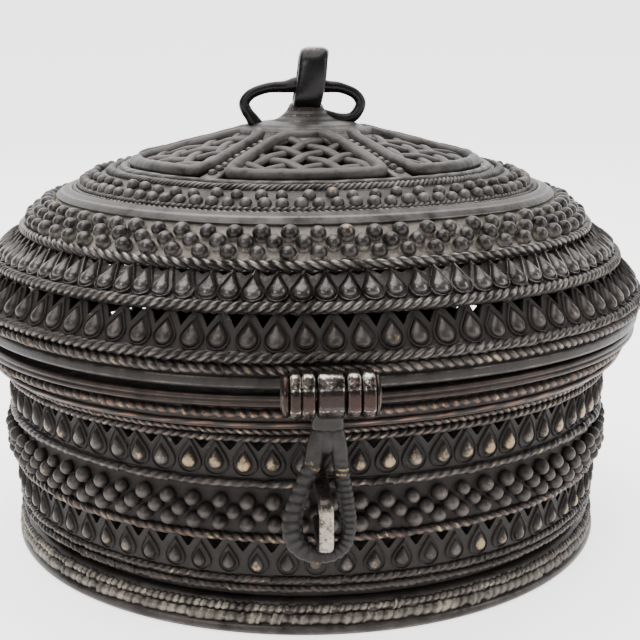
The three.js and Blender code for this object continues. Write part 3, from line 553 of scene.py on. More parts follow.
piece(
    "rope_over_beads", "rope_above_beads", rope_high,
    cast_brass("rope_over_beads", rubbed=(0.1, 0.085, 0.075), rub=0.5, wear=0.15, dust=0.1),
)

# Upper drops of the base: a taller row of the same drops over the bead band, set closer together. The
# fingers that lift the box have polished their fat ends all the way round.
RIM_FOOT = (80.6, 46.4)
high_drops = drops(
    BASE_BEADS_TOP, RIM_FOOT, 80, 2.85, 3.2, 8.6, scale=0.9, notch=0.3, open_from=0.3, phase=0.19, side=0.1,
    handled=0.58, seed=31,
)
piece("high_drops", "base_drops_high", high_drops, cast_brass("high_drop", rub=0.5, wear=0.5, dust=0.06))

# Rim of the base: it steps out over the drops with a flat double rope, a wire and a coppery rope under a
# smooth edge that the lid closes on.
rim = wall(
    [
        (78.0, 46.4), RIM_FOOT, (80.6, 49.2), (84.6, 50.6), (85.5, 55.6), (86.9, 56.2), (88.6, 56.7),
        (88.6, 57.4), (88.25, 57.75), (88.6, 58.1), (88.5, 58.8), (87.8, 59.2), (83.4, 59.2), (83.4, 52.4),
    ],
    0.35,
)
rim_finish = cast_brass(
    "rim", shade=(0.026, 0.02, 0.0175), rubbed=(0.09, 0.058, 0.046), rub=0.4, wear=0.06, dust=0.04
)
piece("rim_band", "base_rim", rim, rim_finish)
rope_under_rim = joined(
    rope(80.6, 49.0, 2.1, 1.6, 246, lean=-1, groove=0.25, seed=41, low=0.2),
    rope(80.6, 47.2, 2.1, 1.5, 246, groove=0.25, seed=42, low=0.2),
)
piece(
    "rope_under_rim", "rope_below_rim", rope_under_rim,
    cast_brass("rope_under_rim", rubbed=(0.115, 0.082, 0.07), rub=0.5, wear=0.2, dust=0.06),
)
wire = rope(84.7, 51.7, 1.3, 0.9, 60, groove=0.04, seed=43)
piece(
    "rim_wire_round", "rim_wire", wire,
    cast_brass("wire", rubbed=OLD_COPPER, rub=0.65, wear=0.1, dust=0.08),
)
rim_cord = rope(85.2, 54.2, 2.3, 1.5, 210, lean=-1, strands=1, groove=0.3, uneven=0.09, seed=44)
piece(
    "rim_cord", "rim_rope", rim_cord,
    cast_brass("rim_rope", rubbed=(0.12, 0.072, 0.054), rub=0.6, wear=0.2, dust=0.06, matt=0.44),
)

# Edge of the lid: a smooth rounded band, and over it two ropes whose strands lean against each other, so
# that together they read as a plait.
LID_EDGE_TOP = (88.4, 68.3)
lid_edge = wall(
    [(83.4, 60.2), (88.5, 60.2), (89.2, 60.9), (89.1, 62.6), (88.4, 63.2), LID_EDGE_TOP, (85.8, 68.3)]
)
lid_edge_finish = cast_brass(
    "lid_edge", shade=(0.024, 0.021, 0.0195), rub=0.28, wear=0.04, dust=0.06, matt=0.42
)
piece("lid_band", "lid_edge", lid_edge, lid_edge_finish)
plait_low = rope(88.3, 64.5, 2.6, 1.6, 238, lean=-1, groove=0.36, uneven=0.06, seed=51)
piece(
    "plait_low", "lid_edge_rope_low", plait_low,
    cast_brass("plait_low", rubbed=(0.11, 0.088, 0.075), rub=0.55, wear=0.16, dust=0.12),
)
plait_high = rope(88.3, 67.0, 2.6, 1.8, 238, strands=3, groove=0.34, uneven=0.06, seed=52)
piece(
    "plait_high", "lid_edge_rope_high", plait_high,
    cast_brass("plait_high", rubbed=(0.105, 0.094, 0.086), rub=0.55, wear=0.14, dust=0.2),
)

# The lid's two rows of drops, with a rope on the waist between them. The upper drops stand close, in nested
# ridges, and are burnished so that each ridge shines.
WAIST_FOOT, WAIST_TOP, LID_BEADS_FOOT = (83.4, 75.0), (82.0, 77.3), (75.8, 82.6)
FULL_DROP = [
    (1.07, -1.2), (1.06, -0.3), (1.03, 0.1), (1.0, 0.36), (0.96, 0.44), (0.92, 0.34), (0.88, -0.02),
    (0.8, -0.15), (0.74, 0.05), (0.69, 0.5), (0.6, 0.9), (0.42, 1.2), (0.2, 1.36), (0.05, 1.4),
]
lid_low_drops = drops(
    LID_EDGE_TOP, WAIST_FOOT, 90, 2.65, 2.5, 7.6, section=FULL_DROP, core=0.77, notch=0.38, phase=0.25,
    side=1.5, handled=0.36, seed=61, bulge=0.95,
)
piece(
    "lid_low_drops", "lid_drops_low", lid_low_drops,
    cast_brass("lid_low_drop", rub=0.42, wear=0.32, dust=0.05),
)
waist = wall([(80.8, 75.0), WAIST_FOOT, WAIST_TOP, (79.4, 77.3)], 0.3)
piece("waist_band", "lid_waist", waist, cast_brass("waist", rub=0.3, wear=0.02, dust=0.35))
waist_cord = rope(82.6, 76.15, 2.9, 1.6, 240, strands=3, groove=0.32, slope=31, seed=62)
piece(
    "waist_cord", "lid_waist_rope", waist_cord,
    cast_brass("waist_rope", rubbed=(0.17, 0.156, 0.142), rub=0.6, wear=0.12, dust=0.4),
)
NESTED_DROP = [
    (1.04, -1.2), (1.03, 0.15), (1.0, 0.5), (0.94, 0.62), (0.88, 0.48), (0.83, 0.25), (0.78, 0.4),
    (0.74, 0.75), (0.69, 0.95), (0.63, 1.1), (0.54, 1.28), (0.44, 1.42), (0.32, 1.52), (0.16, 1.58),
    (0.05, 1.6),
]
lid_high_drops = drops(
    WAIST_TOP, LID_BEADS_FOOT, 99, 2.6, 2.45, 8.5, section=NESTED_DROP, core=0.79, scale=1.12, notch=0.12,
    side=0.3, handled=0.3, seed=63, ring=0.8, bulge=1.5,
)
burnished_finish = cast_brass(
    "lid_high_drop", shade=(0.05, 0.045, 0.043), rubbed=(0.13, 0.12, 0.113), rub=0.62, wear=0.12,
    dust=0.25, matt=0.3,
)
piece("lid_high_drops", "lid_drops_high", lid_high_drops, burnished_finish)

# Bead band of the lid: three staggered rows of larger balls over a rope. The balls are burnished dark, and
# pale dust lies between them.
LID_BEADS_TOP = (65.6, 91.0)
lid_bead_wall = wall(
    [(73.2, 82.6), LID_BEADS_FOOT, LID_BEADS_TOP, (63.0, 91.0)], 0.3, level=(0.5, 0.15, 0.15, 0.5)
)
lid_rows = [(4.3, -0.15), (7.2, 0.36), (10.0, -0.14)]
lid_balls = beads(LID_BEADS_FOOT, LID_BEADS_TOP, lid_rows, 70, 4.05, 0.27, 71, 0.1)
lid_bead_finish = cast_brass(
    "lid_bead", shade=(0.04, 0.036, 0.034), rubbed=(0.11, 0.102, 0.096), rub=0.5, wear=0.12, dust=0.74,
    matt=0.32,
)
piece("lid_bead_rows", "lid_bead_band", joined(lid_bead_wall, lid_balls), lid_bead_finish)
bead_cord = rope(74.9, 83.5, 2.7, 1.7, 186, lean=-1, strands=3, groove=0.36, slope=50, seed=72)
piece(
    "bead_cord", "lid_bead_rope", bead_cord,
    cast_brass("bead_rope", rubbed=(0.26, 0.245, 0.23), rub=0.6, wear=0.1, dust=0.3, matt=0.36),
)

# Shoulder of the lid: a smooth strap, a fine plait, a row of flattened beads, then loose beads and a last
# rope under the crown. Dust dulls all of it to grey.
GREY_DUSTY = dict(shade=(0.075, 0.069, 0.065), rubbed=(0.19, 0.176, 0.165), dust=0.42, matt=0.5)
SHOULDER_FOOT, SHOULDER_TOP = (62.2, 92.6), (54.0, 97.0)
shoulder = wall([(63.0, 91.0), LID_BEADS_TOP, SHOULDER_FOOT, SHOULDER_TOP, (54.0, 94.6), (62.0, 90.2)], 0.3)
piece("shoulder_wall", "lid_shoulder", shoulder, cast_brass("shoulder", rub=0.4, wear=0.02, **GREY_DUSTY))
strap = wall([(64.2, 91.0), (66.2, 90.9), (66.6, 91.6), (65.0, 92.9), (62.8, 93.7), (62.0, 93.0)], 0.6)
piece("smooth_strap", "shoulder_strap", strap, cast_brass("strap", rub=0.6, wear=0.03, **GREY_DUSTY))
fine_plait = joined(
    rope(61.4, 92.8, 1.5, 1.0, 250, lean=-1, groove=0.34, slope=62, seed=81),
    rope(60.1, 93.5, 1.5, 1.0, 250, groove=0.34, slope=62, seed=82),
)
piece("fine_plait", "shoulder_rope", fine_plait, cast_brass("fine_plait", rub=0.55, wear=0.1, **GREY_DUSTY))
flat_beads = beads(SHOULDER_FOOT, SHOULDER_TOP, [(4.0, 0)], 89, 3.3, 0.4, 83, 0.12)
bead_seat = wall([(59.2, 94.1), (60.0, 94.3), (56.6, 96.1), (56.2, 95.5)], 0.2)
piece(
    "flat_beads", "shoulder_beads", joined(flat_beads, bead_seat),
    cast_brass("flat_bead", rub=0.6, wear=0.1, **GREY_DUSTY),
)
crown_cord = joined(
    rope(52.1, 97.5, 2.8, 1.0, 240, strands=4, groove=0.34, slope=70, seed=84),
    beads(SHOULDER_FOOT, SHOULDER_TOP, [(7.0, 0.5)], 66, 3.0, 0.34, 85, 0.4),
)
piece("crown_cord", "crown_rope", crown_cord, cast_brass("crown_rope", rub=0.5, wear=0.12, **GREY_DUSTY))

# Crown: a low cone of six petals between beaded spokes. Each petal is a thick smooth border round a lattice
# of bars that go over and under each other, open to the inside of the box.
CROWN_RADIUS, CROWN_Z = SHOULDER_TOP
CROWN_SLOPE, CROWN_TURN = math.radians(14), math.radians(-3)
PETALS, PETAL_OUTER, PETAL_INNER, SPOKE = 6, 47.4, 15.0, 2.4
BAR_PITCH, BAR_WIDTH, BAR_HEIGHT, BAR_WEAVE, BAR_SUNK = 6.4, 3.1, 2.1, 0.3, 0.8
SPOKE_BEADS = 9


def crown_height(radius):
    """How high the crown's cone stands at a radius"""
    return CROWN_Z + (CROWN_RADIUS - radius) * math.tan(CROWN_SLOPE)


def curve(knots, count, closed=False):
    """A smooth line of count points through knots"""
    knots = np.array(knots, float)
    if closed:
        ghost = np.concatenate([knots[-1:], knots, knots[:2]])
        t = np.linspace(0, len(knots), count, endpoint=False)
    else:
        ghost = np.concatenate([2 * knots[:1] - knots[1:2], knots, 2 * knots[-1:] - knots[-2:-1]])
        t = np.linspace(0, len(knots) - 1, count)
    i = np.minimum(t.astype(int), len(ghost) - 4)
    f = (t - i)[:, None]
    a, b, c, d = ghost[i], ghost[i + 1], ghost[i + 2], ghost[i + 3]
    return 0.5 * (2 * b + (c - a) * f + (2 * a - 5 * b + 4 * c - d) * f**2 + (3 * b - a - 3 * c + d) * f**3)


def tube(path, up, width, height, closed=False, around=16, square=1.0, wrap=None, touch=0.3):
    """A bar along a path, width across and height towards up. square under 1 makes its section boxier. wrap
    is (pitch, lean, groove) of the cord wound round it, and open ends are blunt."""
    path = np.asarray(path, float)
    width, height, touch = (np.broadcast_to(v, len(path)).astype(float) for v in (width, height, touch))
    groove = np.broadcast_to(wrap[2] if wrap else 0.0, len(path)).astype(float)
    up = np.broadcast_to(up, path.shape).astype(float)
    way = (np.roll(path, -1, 0) - np.roll(path, 1, 0)) if closed else np.gradient(path, axis=0)
    way /= np.linalg.norm(way, axis=1)[:, None]
    if not closed:
        far, narrow, even = (0.5, 0.85, 1.0), (0.87, 0.53, 0.12), (1, 1, 1)
        reach = min(width[0], height[0]) / 2
        head = [path[0] - way[0] * reach * share for share in far[::-1]]
        tail = [path[-1] + way[-1] * reach * share for share in far]
        path = np.concatenate([head, path, tail])

        def lengthened(values, shares):
            first, last = ([values[end] * share for share in shares] for end in (0, -1))
            return np.concatenate([first[::-1], values, last])

        width, height = lengthened(width, narrow), lengthened(height, narrow)
        touch, up, way, groove = (lengthened(values, even) for values in (touch, up, way, groove))
    side = np.cross(way, up)
    side /= np.linalg.norm(side, axis=1)[:, None]
    top = np.cross(side, way)
    face = circle(around)[None]
    across = np.sign(np.cos(face)) * np.abs(np.cos(face)) ** square
    over = np.sign(np.sin(face)) * np.abs(np.sin(face)) ** square
    size = np.ones((len(path), around))
    rise = 0.5 + 0.45 * over + 0 * size
    if wrap:
        run = np.concatenate([[0], np.cumsum(np.linalg.norm(np.diff(path, axis=0), axis=1))])[:, None]
        crest = np.abs(np.cos(math.pi * (run / wrap[0] + wrap[1] * face / math.tau))) ** 0.7
        size = 1 - groove[:, None] * (1 - crest)
        rise = rise * (1 - 0.8 * (1 - crest) * (groove[:, None] > 0))
    half_width = width[:, None] / 2 * size * across
    half_height = height[:, None] / 2 * size * over
    loops = path[:, None] + side[:, None] * half_width[..., None] + top[:, None] * half_height[..., None]
    points, faces = skin(loops[None], around=closed)
    if closed:
        return points, faces, rise.reshape(-1), np.repeat(touch, around)
    touches = np.repeat(touch, around)[None]
    return points, faces, with_ends(rise[None], (0.5, 0.5)), with_ends(touches, (touch[0], touch[-1]))


def spun(form, angle):
    """A form turned about the box's axis"""
    points, faces, rise, touch = form
    along, aside = math.cos(angle), math.sin(angle)
    turn = np.array([[along, -aside, 0], [aside, along, 0], [0, 0, 1]])
    return points @ turn.T, faces, rise, touch


def on_crown(flat, lift):
    """Points of a flat drawing laid on the cone, and the cone's outward direction there"""
    radius = np.hypot(flat[:, 0], flat[:, 1])
    points = np.column_stack([flat, crown_height(radius) + lift])
    lean = math.sin(CROWN_SLOPE) / radius
    upright = np.full(len(flat), math.cos(CROWN_SLOPE))
    return points, np.column_stack([flat[:, 0] * lean, flat[:, 1] * lean, upright])


def petal_outline(margin):
    """The rounded outline of the front petal, shrunk by a margin"""
    outer, inner, side = PETAL_OUTER - margin, PETAL_INNER + margin, SPOKE / 2 + margin
    corner, cheek, flank = 0.08, 0.84 * outer, 0.3 * inner + 0.7 * outer * 0.84

    def at(radius, share):
        angle = share * (math.pi / PETALS - math.asin(side / radius))
        return radius * math.sin(angle), -radius * math.cos(angle)

    points = [at(inner, -1), at(flank, -1), at(cheek, -1)]
    points += [at(outer, share) for share in np.linspace(-1 + corner, 1 - corner, 7)]
    points = np.array([*points, at(cheek, 1), at(flank, 1), at(inner, 1), at(inner, 0)])
    for _ in range(3):
        ahead = np.roll(points, -1, 0)
        points = np.stack([0.75 * points + 0.25 * ahead, 0.25 * points + 0.75 * ahead], 1).reshape(-1, 2)
    return points


def lattice(outline):
    """Bars laid both ways at 45 degrees, cut to the petal's outline, each going over and under the others"""
    centre = np.array([0, -(PETAL_OUTER + PETAL_INNER) / 2])
    along, shortest = np.linspace(-60, 60, 481), 12
    span = np.roll(outline, -1, 0) - outline
    made = []
    for way, across, start in (((1, 1), (-1, 1), 0), ((1, -1), (1, 1), 1)):
        way, across = np.array(way) / math.sqrt(2), np.array(across) / math.sqrt(2)
        for i in range(-6, 7):
            line = centre + across * i * BAR_PITCH + way * along[:, None]
            gap = line[:, None] - outline[None]
            crossed = span[None, :, 0] * gap[..., 1] - span[None, :, 1] * gap[..., 0]
            inside = np.all(crossed > 0, axis=1) | np.all(crossed < 0, axis=1)
            if inside.sum() < shortest:
                continue
            kept = along[inside]
            points = max(8, int((kept[-1] - kept[0]) / 0.7))
            steps = np.linspace(kept[0] - BAR_SUNK, kept[-1] + BAR_SUNK, points)
            flat = centre + across * i * BAR_PITCH + way * steps[:, None]
            lift = BAR_WEAVE * np.cos(math.pi * (steps / BAR_PITCH + i + start))
            path, up = on_crown(flat, lift - 0.1)
            made.append(tube(path, up, BAR_WIDTH, BAR_HEIGHT, around=14, touch=0.2))
    return joined(*made)


border_path, border_up = on_crown(petal_outline(2.0), 0.5)
border_steps = np.arange(len(border_path))
waver = 0.12 * np.sin(border_steps * 0.55) + 0.08 * np.sin(border_steps * 1.7)
border = tube(border_path, border_up, 3.9 + waver, 3.5 + waver, closed=True, touch=0.35)
petal = joined(border, lattice(petal_outline(2.4)))
dusty_petal = cast_brass(
    "lattice", shade=(0.06, 0.055, 0.052), rubbed=(0.1, 0.092, 0.087), rub=0.5, wear=0.08, dust=0.26,
    matt=0.5,
)
for i in range(PETALS):
    turned = spun(petal, CROWN_TURN + i * math.tau / PETALS)
    piece(f"lattice_petal_{i + 1}", f"lattice_panel_{i + 1}", turned, dusty_petal)

web_rim = wall([(CROWN_RADIUS, 94.8), SHOULDER_TOP, (47.6, 98.6), (47.0, 98.5), (46.8, 96.6)], 0.3, level=0.6)
web_hub = wall([(10.9, 106.4), (15.4, 105.0), (15.4, 106.6), (10.9, 107.8)], 0.3, 96)
spoke_line, spoke_up = on_crown(np.column_stack([np.zeros(24), -np.linspace(14.5, 48, 24)]), -0.9)
spoke_foot, spoke_head = ((radius, crown_height(radius)) for radius in (48.0, 15.0))
spoke_beads = balls(
    spoke_foot, spoke_head, np.zeros(SPOKE_BEADS), np.linspace(3.5, 26, SPOKE_BEADS), 2.6, sink=0.45, seed=91
)
spoke = joined(tube(spoke_line, spoke_up, 5.2, 2.6, square=0.7), spoke_beads)
spokes = [spun(spoke, CROWN_TURN + (i + 0.5) * math.tau / PETALS) for i in range(PETALS)]
piece(
    "crown_spokes", "crown_web", joined(web_rim, web_hub, *spokes),
    cast_brass("web", rub=0.42, wear=0.06, **GREY_DUSTY),
)
crown_band = rope(48.7, 98.2, 2.2, 0.8, 48, groove=0.03, slope=76, seed=92)
piece("crown_band", "crown_ring", crown_band, cast_brass("crown_ring", rub=0.5, wear=0.04, **GREY_DUSTY))

# Finial: a mound carries an upright wax strip bent into a loop, which is seen edge-on, and a thin ear curls
# down from each of its sides. Fingers keep the top of the loop bright.
boss = wall(
    [
        (0.3, 104.8), (19.9, 104.8), (19.5, 106.2), (17.0, 107.4), (15.0, 108.5), (13.2, 109.3), (8.4, 109.9),
        (6.2, 111.3), (4.9, 112.8), (4.3, 114.4), (0.3, 114.6),
    ],
    1.2, 120,
)
piece("boss_mound", "apex_boss", boss, cast_brass("boss", rub=0.4, wear=0.04, **GREY_DUSTY))

LOOP_FOOT, LOOP_MIDDLE, LOOP_LEAN = 112.5, 8.2, math.radians(8.5)
LOOP_POINTS, EAR_POINTS, EAR_BEND = 110, 64, 114.6
GRIP_FROM, GRIP_OVER = 13.6, 1.6
OUTWARD = (0, -1, 0)
loop_knots = [
    (-4.3, 4.0), (-4.3, 9.7), (-3.6, 13.1), (-1.5, 14.9), (1.5, 14.9), (3.6, 13.1), (4.3, 9.7), (4.3, 4.0),
    (3.2, 1.9), (0, 1.5), (-3.2, 1.9),
]
loop_line = curve([(0, y, z) for y, z in loop_knots], LOOP_POINTS, closed=True)
wave = 0.09 * np.sin(np.arange(LOOP_POINTS) * 0.229)
loop_line[:, 0] += loop_line[:, 2] * math.tan(LOOP_LEAN) + wave
loop_up = np.stack([0 * wave, loop_line[:, 1], loop_line[:, 2] - LOOP_MIDDLE], -1)
grip = np.clip((loop_line[:, 2] - GRIP_FROM) / GRIP_OVER, 0, 1)
loop_line[:, 2] += LOOP_FOOT
loop = tube(loop_line, loop_up, 7.6 + 0.3 * wave, 3.2, closed=True, around=24, square=0.78, touch=1.1 * grip)
SMOOTH_DARK = dict(
    shade=(0.014, 0.013, 0.0135), rubbed=(0.026, 0.0245, 0.0245), dust=0.02, matt=0.3, pits=0.3
)
piece(
    "finial_loop_strip", "finial_loop", loop,
    cast_brass("finial", rub=0.5, wear=0.3, bare=(0.5, 0.4, 0.27), **SMOOTH_DARK),
    crease=70,
)


def ear_wire(side, reach, foot):
    """A thin bar out of the loop's side, down, and back into the mound along the points of foot"""
    root = LOOP_FOOT + 6.2
    knots = [(2.6, root + 0.5), (5.6, root), (0.62 * reach, root - 0.3), (0.88 * reach, root - 1.8)]
    knots += [(reach, EAR_BEND), *foot]
    line = curve([(side * x, 0, z) for x, z in knots], EAR_POINTS)
    size = np.interp(
        np.linspace(0, 1, EAR_POINTS), [0, 0.14, 0.3, 0.6, 0.8, 1], [4.2, 3.2, 2.7, 2.9, 3.0, 4.0]
    )
    return tube(line, OUTWARD, size, size, touch=0.5)


EARS = {
    "left": (-1, 16.4, [(15.9, 112.5), (14.6, 110.6), (12.9, 108.0)]),
    "right": (1, 14.7, [(14.2, 112.4), (12.4, 110.5), (9.0, 110.0), (4.6, 110.8)]),
}
ear_finish = cast_brass("ear", rub=0.5, wear=0.12, **SMOOTH_DARK)
for name, ear in EARS.items():
    piece(f"ear_wire_{name}", f"finial_ear_{name}", ear_wire(*ear), ear_finish, 70)

# Hinges: banded octagonal barrels filed by hand, red-brown in front. Their upper facets are painted pale
# and bright, partly for real wear and partly as a painted reflection of the overhead light. The front one
# carries the hasp, and the rear one, which the photograph doesn't show, is made like it.
FLAT, PIN_FLAT, PIN_HEAD_FLAT = 4.9, 1.3, 2.7
FRONT_HINGE, REAR_HINGE = (-1, 95.2, 61.1), (1, 96.4, 59.7)
LID_SIDE, BASE_SIDE = (88.6, 60.6), (88.0, 56.9)
# how much each facet is touched: the upper facets count most, partly for wear and partly as a painted
# reflection of the overhead light
TOP, UPPER, OUTER, LOWER, UNDER, BACK = 0.7, 1.0, 0.1, 0.7, 0.2, 0.1
TAB_THICK, TAB_ROOT = 2.3, -3.2


def cross_bar(section, low, high, hinge, fillet, ease=0.4, facets=0.4):
    """A bar along X. Its section is drawn outwards and up from the axis of a hinge (facing, out, up), where
    facing is -1 at the front. ease is the length over which its ends are rounded off, and facets says how
    much each side of the section is touched, from the first corner on. On the hinge barrels the bright
    upper facets are partly real wear and partly a painted reflection of the overhead light."""
    facing, out, up = hinge
    outline, rise = rounded(section, fillet)
    middle = outline.mean(0)
    half = np.abs(outline - middle).max()
    inset = np.array([ease, ease * 0.4, 0, 0, ease * 0.4, ease])
    stations = np.array([low, low + ease * 0.3, low + ease, high - ease, high - ease * 0.3, high])
    drawn = middle + (outline - middle)[None] * (1 - inset / half)[:, None, None]
    x = np.broadcast_to(stations[:, None], drawn.shape[:2])
    loops = np.stack([x, facing * (out + drawn[..., 0]), up + drawn[..., 1]], -1)
    points, faces = skin(loops[None])
    edge = np.array([0.4, 0.95, 0.75, 0.75, 0.95, 0.4])[:, None]
    proud = np.maximum(rise[None], edge * np.array([1, 1, 0.8, 0.8, 1, 1])[:, None])
    sides = np.broadcast_to(facets, len(section)).astype(float)
    touch_and_sheen = np.stack([np.roll(sides, 1), np.roll(sides, 1), sides, sides], -1).reshape(1, 1, -1)
    touch_and_sheen = np.broadcast_to(touch_and_sheen, (1, *drawn.shape[:2]))
    return points, faces, with_ends(proud[None], (0.2, 0.2)), with_ends(touch_and_sheen, (0.1, 0.1))


def octagon(flat):
    """The corners of an octagon that measures flat from its middle to a side, from the lower inner one on"""
    c = flat * math.tan(math.pi / 8)
    return [(-flat, -c), (-c, -flat), (c, -flat), (flat, -c), (flat, c), (c, flat), (-c, flat), (-flat, c)]


def barrel(low, high, hinge, flat=FLAT, bright=1.0):
    """One band of a knuckle. bright scales how much its facets are touched, which on the upper facets is
    partly real wear and partly a painted reflection of the overhead light.
    """
    facets = [bright * side for side in (BACK, UNDER, LOWER, OUTER, UPPER, TOP, BACK, BACK)]
    return cross_bar(octagon(flat), low, high, hinge, fillet=1.1, ease=0.7, facets=facets)


def tab(low, high, side, hinge):
    """The arm that joins a barrel to the side (out, up) of its casting"""
    reach, foot = side[0] - hinge[1], side[1] - hinge[2]
    top = foot + TAB_THICK
    section = [(TAB_ROOT, top), (reach, top), (reach, foot), (TAB_ROOT, foot)]
    return cross_bar(section, low, high, hinge, fillet=0.4)


def pin_with_heads(hinge):
    """A hinge's pin, as long as the hinge is wide, with a small flat head at each end"""
    rod = cross_bar(octagon(PIN_FLAT), -9.9, 9.9, hinge, fillet=0.4, ease=0.1)
    heads = [
        cross_bar(octagon(PIN_HEAD_FLAT), *span, hinge, fillet=0.8, ease=0.2)
        for span in ((-10.1, -9.5), (9.5, 10.1))
    ]
    return joined(rod, *heads)


# the pale bare colour on the upper facets is partly wear and partly a painted reflection of the overhead
# light
hinge_finish = cast_brass(
    "hinge", shade=(0.027, 0.0155, 0.012), rubbed=(0.05, 0.038, 0.034), rub=0.4,
    bare=(0.5, 0.465, 0.41), wear=0.34, dust=0.02, matt=0.17, pits=0.9,
)
front_left = joined(
    barrel(-9.95, -8.2, FRONT_HINGE, 4.3, bright=0.2), barrel(-8.3, -5.9, FRONT_HINGE),
    barrel(-6.0, -3.15, FRONT_HINGE), tab(-9.2, -3.2, LID_SIDE, FRONT_HINGE),
)
front_right = joined(
    barrel(3.1, 6.05, FRONT_HINGE), barrel(6.15, 9.0, FRONT_HINGE),
    barrel(8.8, 9.85, FRONT_HINGE, 4.4, bright=0.2), tab(3.2, 9.2, LID_SIDE, FRONT_HINGE),
)
piece("front_barrel_left", "front_knuckle_left", front_left, hinge_finish, 60)
piece("front_barrel_right", "front_knuckle_right", front_right, hinge_finish, 60)
pin_finish = cast_brass("pin", rub=0.4, wear=0.05, dust=0.05)
piece("front_pin", "hasp_pin", pin_with_heads(FRONT_HINGE), pin_finish)
for side, name in ((-1, "left"), (1, "right")):
    low, high = sorted((side * 3.2, side * 9.2))
    bands = joined(
        barrel(low, low + 2.95, REAR_HINGE), barrel(high - 2.95, high, REAR_HINGE),
        tab(low, high, BASE_SIDE, REAR_HINGE),
    )
    piece(f"rear_barrel_{name}", f"rear_knuckle_{name}", bands, hinge_finish, 60)
rear_middle = joined(barrel(-2.8, 2.8, REAR_HINGE), tab(-2.8, 2.8, LID_SIDE, REAR_HINGE))
piece("rear_barrel_middle", "rear_knuckle_middle", rear_middle, hinge_finish, 60)
piece("rear_pin", "rear_hinge_pin", pin_with_heads(REAR_HINGE), pin_finish)

# Hasp: a knuckle runs down into a short strap, and from a plate under it two cord-wrapped legs part round
# the staple and meet in a rounded foot. The left leg's cord is coarse and the right leg's is fine.
# the strap's factor darkens it to the hollows' black-brown as painted shade under the knuckle
STRAP_POINTS, STRAP_PAINTED_SHADE = 12, 0.1
strap_line = [(-0.05, -93.2, 60.0), (-0.1, -93.0, 57.4), (-0.3, -92.5, 55.6), (-0.4, -92.3, 53.6)]
strap_width = np.linspace(5.5, 6.7, STRAP_POINTS)
strap_points, strap_faces, strap_rise, _ = tube(
    curve(strap_line, STRAP_POINTS), OUTWARD, strap_width, 3.2, square=0.6, around=24
)
# the strap is painted as dark as a hollow: painted shade of the knuckle that hangs over it
hasp_strap = (strap_points, strap_faces, STRAP_PAINTED_SHADE * strap_rise, 0.0)
# the pale bare colour on the knuckle's upper facets is partly wear and partly a painted reflection of the
# overhead light
knuckle_finish = cast_brass(
    "hasp_knuckle", shade=(0.022, 0.015, 0.0125), rubbed=(0.06, 0.048, 0.043), rub=0.4,
    bare=(0.4, 0.385, 0.37), wear=0.28, dust=0.02, matt=0.2, pits=0.8,
)
hasp_barrel = joined(barrel(-2.8, 2.8, FRONT_HINGE, 4.7), hasp_strap)
piece("hasp_barrel", "hasp_knuckle", hasp_barrel, knuckle_finish, 60)

HASP_MIDDLE, HASP_THICK, LEG_POINTS = -92.2, 3.3, 170
CORD_TOP, CORD_OVER, CORD_GROOVE = 47.5, 3, 0.14
left_leg = [
    (-2.0, 52.6, 3.5), (-2.75, 49.5, 3.7), (-3.45, 45.6, 3.75), (-4.95, 41.9, 3.9), (-6.6, 37.6, 3.95),
    (-7.5, 34.3, 4.4), (-7.75, 31.2, 4.6), (-6.9, 28.2, 4.6), (-5.0, 26.3, 4.3), (-2.6, 25.4, 3.9),
]
right_leg = [
    (1.35, 52.6, 3.3), (1.9, 49.4, 3.5), (2.3, 45.5, 3.4), (2.75, 41.8, 3.5), (3.4, 37.4, 3.8),
    (4.1, 32.7, 3.4), (3.7, 28.9, 3.2), (2.5, 26.8, 3.3), (0.4, 25.6, 3.6), (-2.4, 25.3, 3.9),
]
GOLD_SPOTS = [(-3.4, 45.4), (2.6, 43.8), (-2.5, 24.4)]


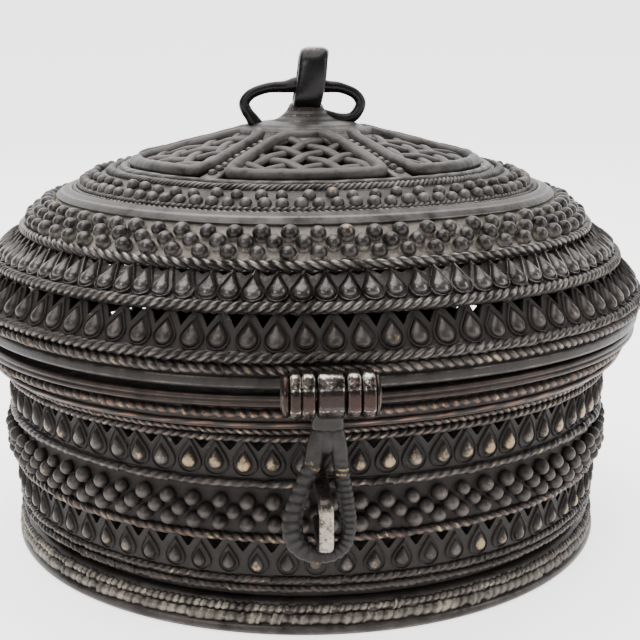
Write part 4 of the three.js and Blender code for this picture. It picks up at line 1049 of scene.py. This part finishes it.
def leg(knots, pitch, lean):
    """A leg of the hasp through knots (x, z, width), with a cord wound round it below CORD_TOP"""
    line = curve([(x, HASP_MIDDLE, z) for x, z, _ in knots], LEG_POINTS)
    width = curve([(w, 0, 0) for _, _, w in knots], LEG_POINTS)[:, 0]
    groove = np.clip((CORD_TOP - line[:, 2]) / CORD_OVER, 0, 1) * CORD_GROOVE
    spots = [np.exp(-((line[:, 0] - x) ** 2 + (line[:, 2] - z) ** 2) / 1.3) for x, z in GOLD_SPOTS]
    wrap = (pitch, lean, groove)
    return tube(line, OUTWARD, width, HASP_THICK, around=20, square=0.85, wrap=wrap, touch=sum(spots))


bridge_line = [(-0.4, HASP_MIDDLE, 52.6), (-0.5, HASP_MIDDLE, 51.0), (-0.65, HASP_MIDDLE, 49.2)]
bridge = tube(bridge_line, OUTWARD, [6.6, 6.0, 4.2], HASP_THICK)
nub = tube([(-2.5, -92.8, 24.4), (-2.5, -92.9, 23.8)], OUTWARD, 1.3, 1.5, touch=0.8)
hasp_cords = joined(leg(left_leg, 2.1, 1), leg(right_leg, 1.35, -1), bridge, nub)
hasp_finish = cast_brass(
    "hasp", shade=(0.02, 0.0185, 0.018), rubbed=(0.045, 0.042, 0.041), rub=0.36, bare=(0.42, 0.3, 0.14),
    wear=0.3, dust=0.04, matt=0.45,
)
piece("hasp_cords", "hasp_loop", hasp_cords, hasp_finish, 70)

# Staple: a strip on edge bent into an eye through the hasp's loop. The lock that once hung in it has left
# its front bright and pitted, while its cheeks are black.
EYE_TOP, EYE_BOTTOM, EYE_DEPTH, EYE_HEIGHT = 39.9, 29.0, -92, 34.4
staple_line = curve(
    [
        (-1.45, -82.5, EYE_TOP), (-1.45, -90, EYE_TOP), (-1.4, -95.8, EYE_TOP), (-1.2, -98.9, 38.7),
        (-1.1, -99.5, 36.2), (-1.1, -99.5, 32.6), (-1.1, -98.9, 30.2), (-1.4, -95.8, EYE_BOTTOM),
        (-1.45, -90, EYE_BOTTOM), (-1.45, -82.5, EYE_BOTTOM),
    ],
    90,
)
sideways, depth, height = staple_line.T
front_face = np.clip((-depth - 97.9) / 0.6, 0, 1) * np.clip((39.0 - height) / 0.9, 0, 1)
staple_up = np.stack([0 * sideways, depth - EYE_DEPTH, height - EYE_HEIGHT], -1)
staple_eye = tube(staple_line, staple_up, 3.1, 2.5, around=20, square=0.5, touch=front_face)
staple_finish = cast_brass(
    "staple", rubbed=(0.075, 0.062, 0.055), rub=0.3, bare=(0.3, 0.272, 0.218), wear=0.3, dust=0.04,
    matt=0.26, pits=1.0,
)
piece("staple_eye", "staple", staple_eye, staple_finish, 70)
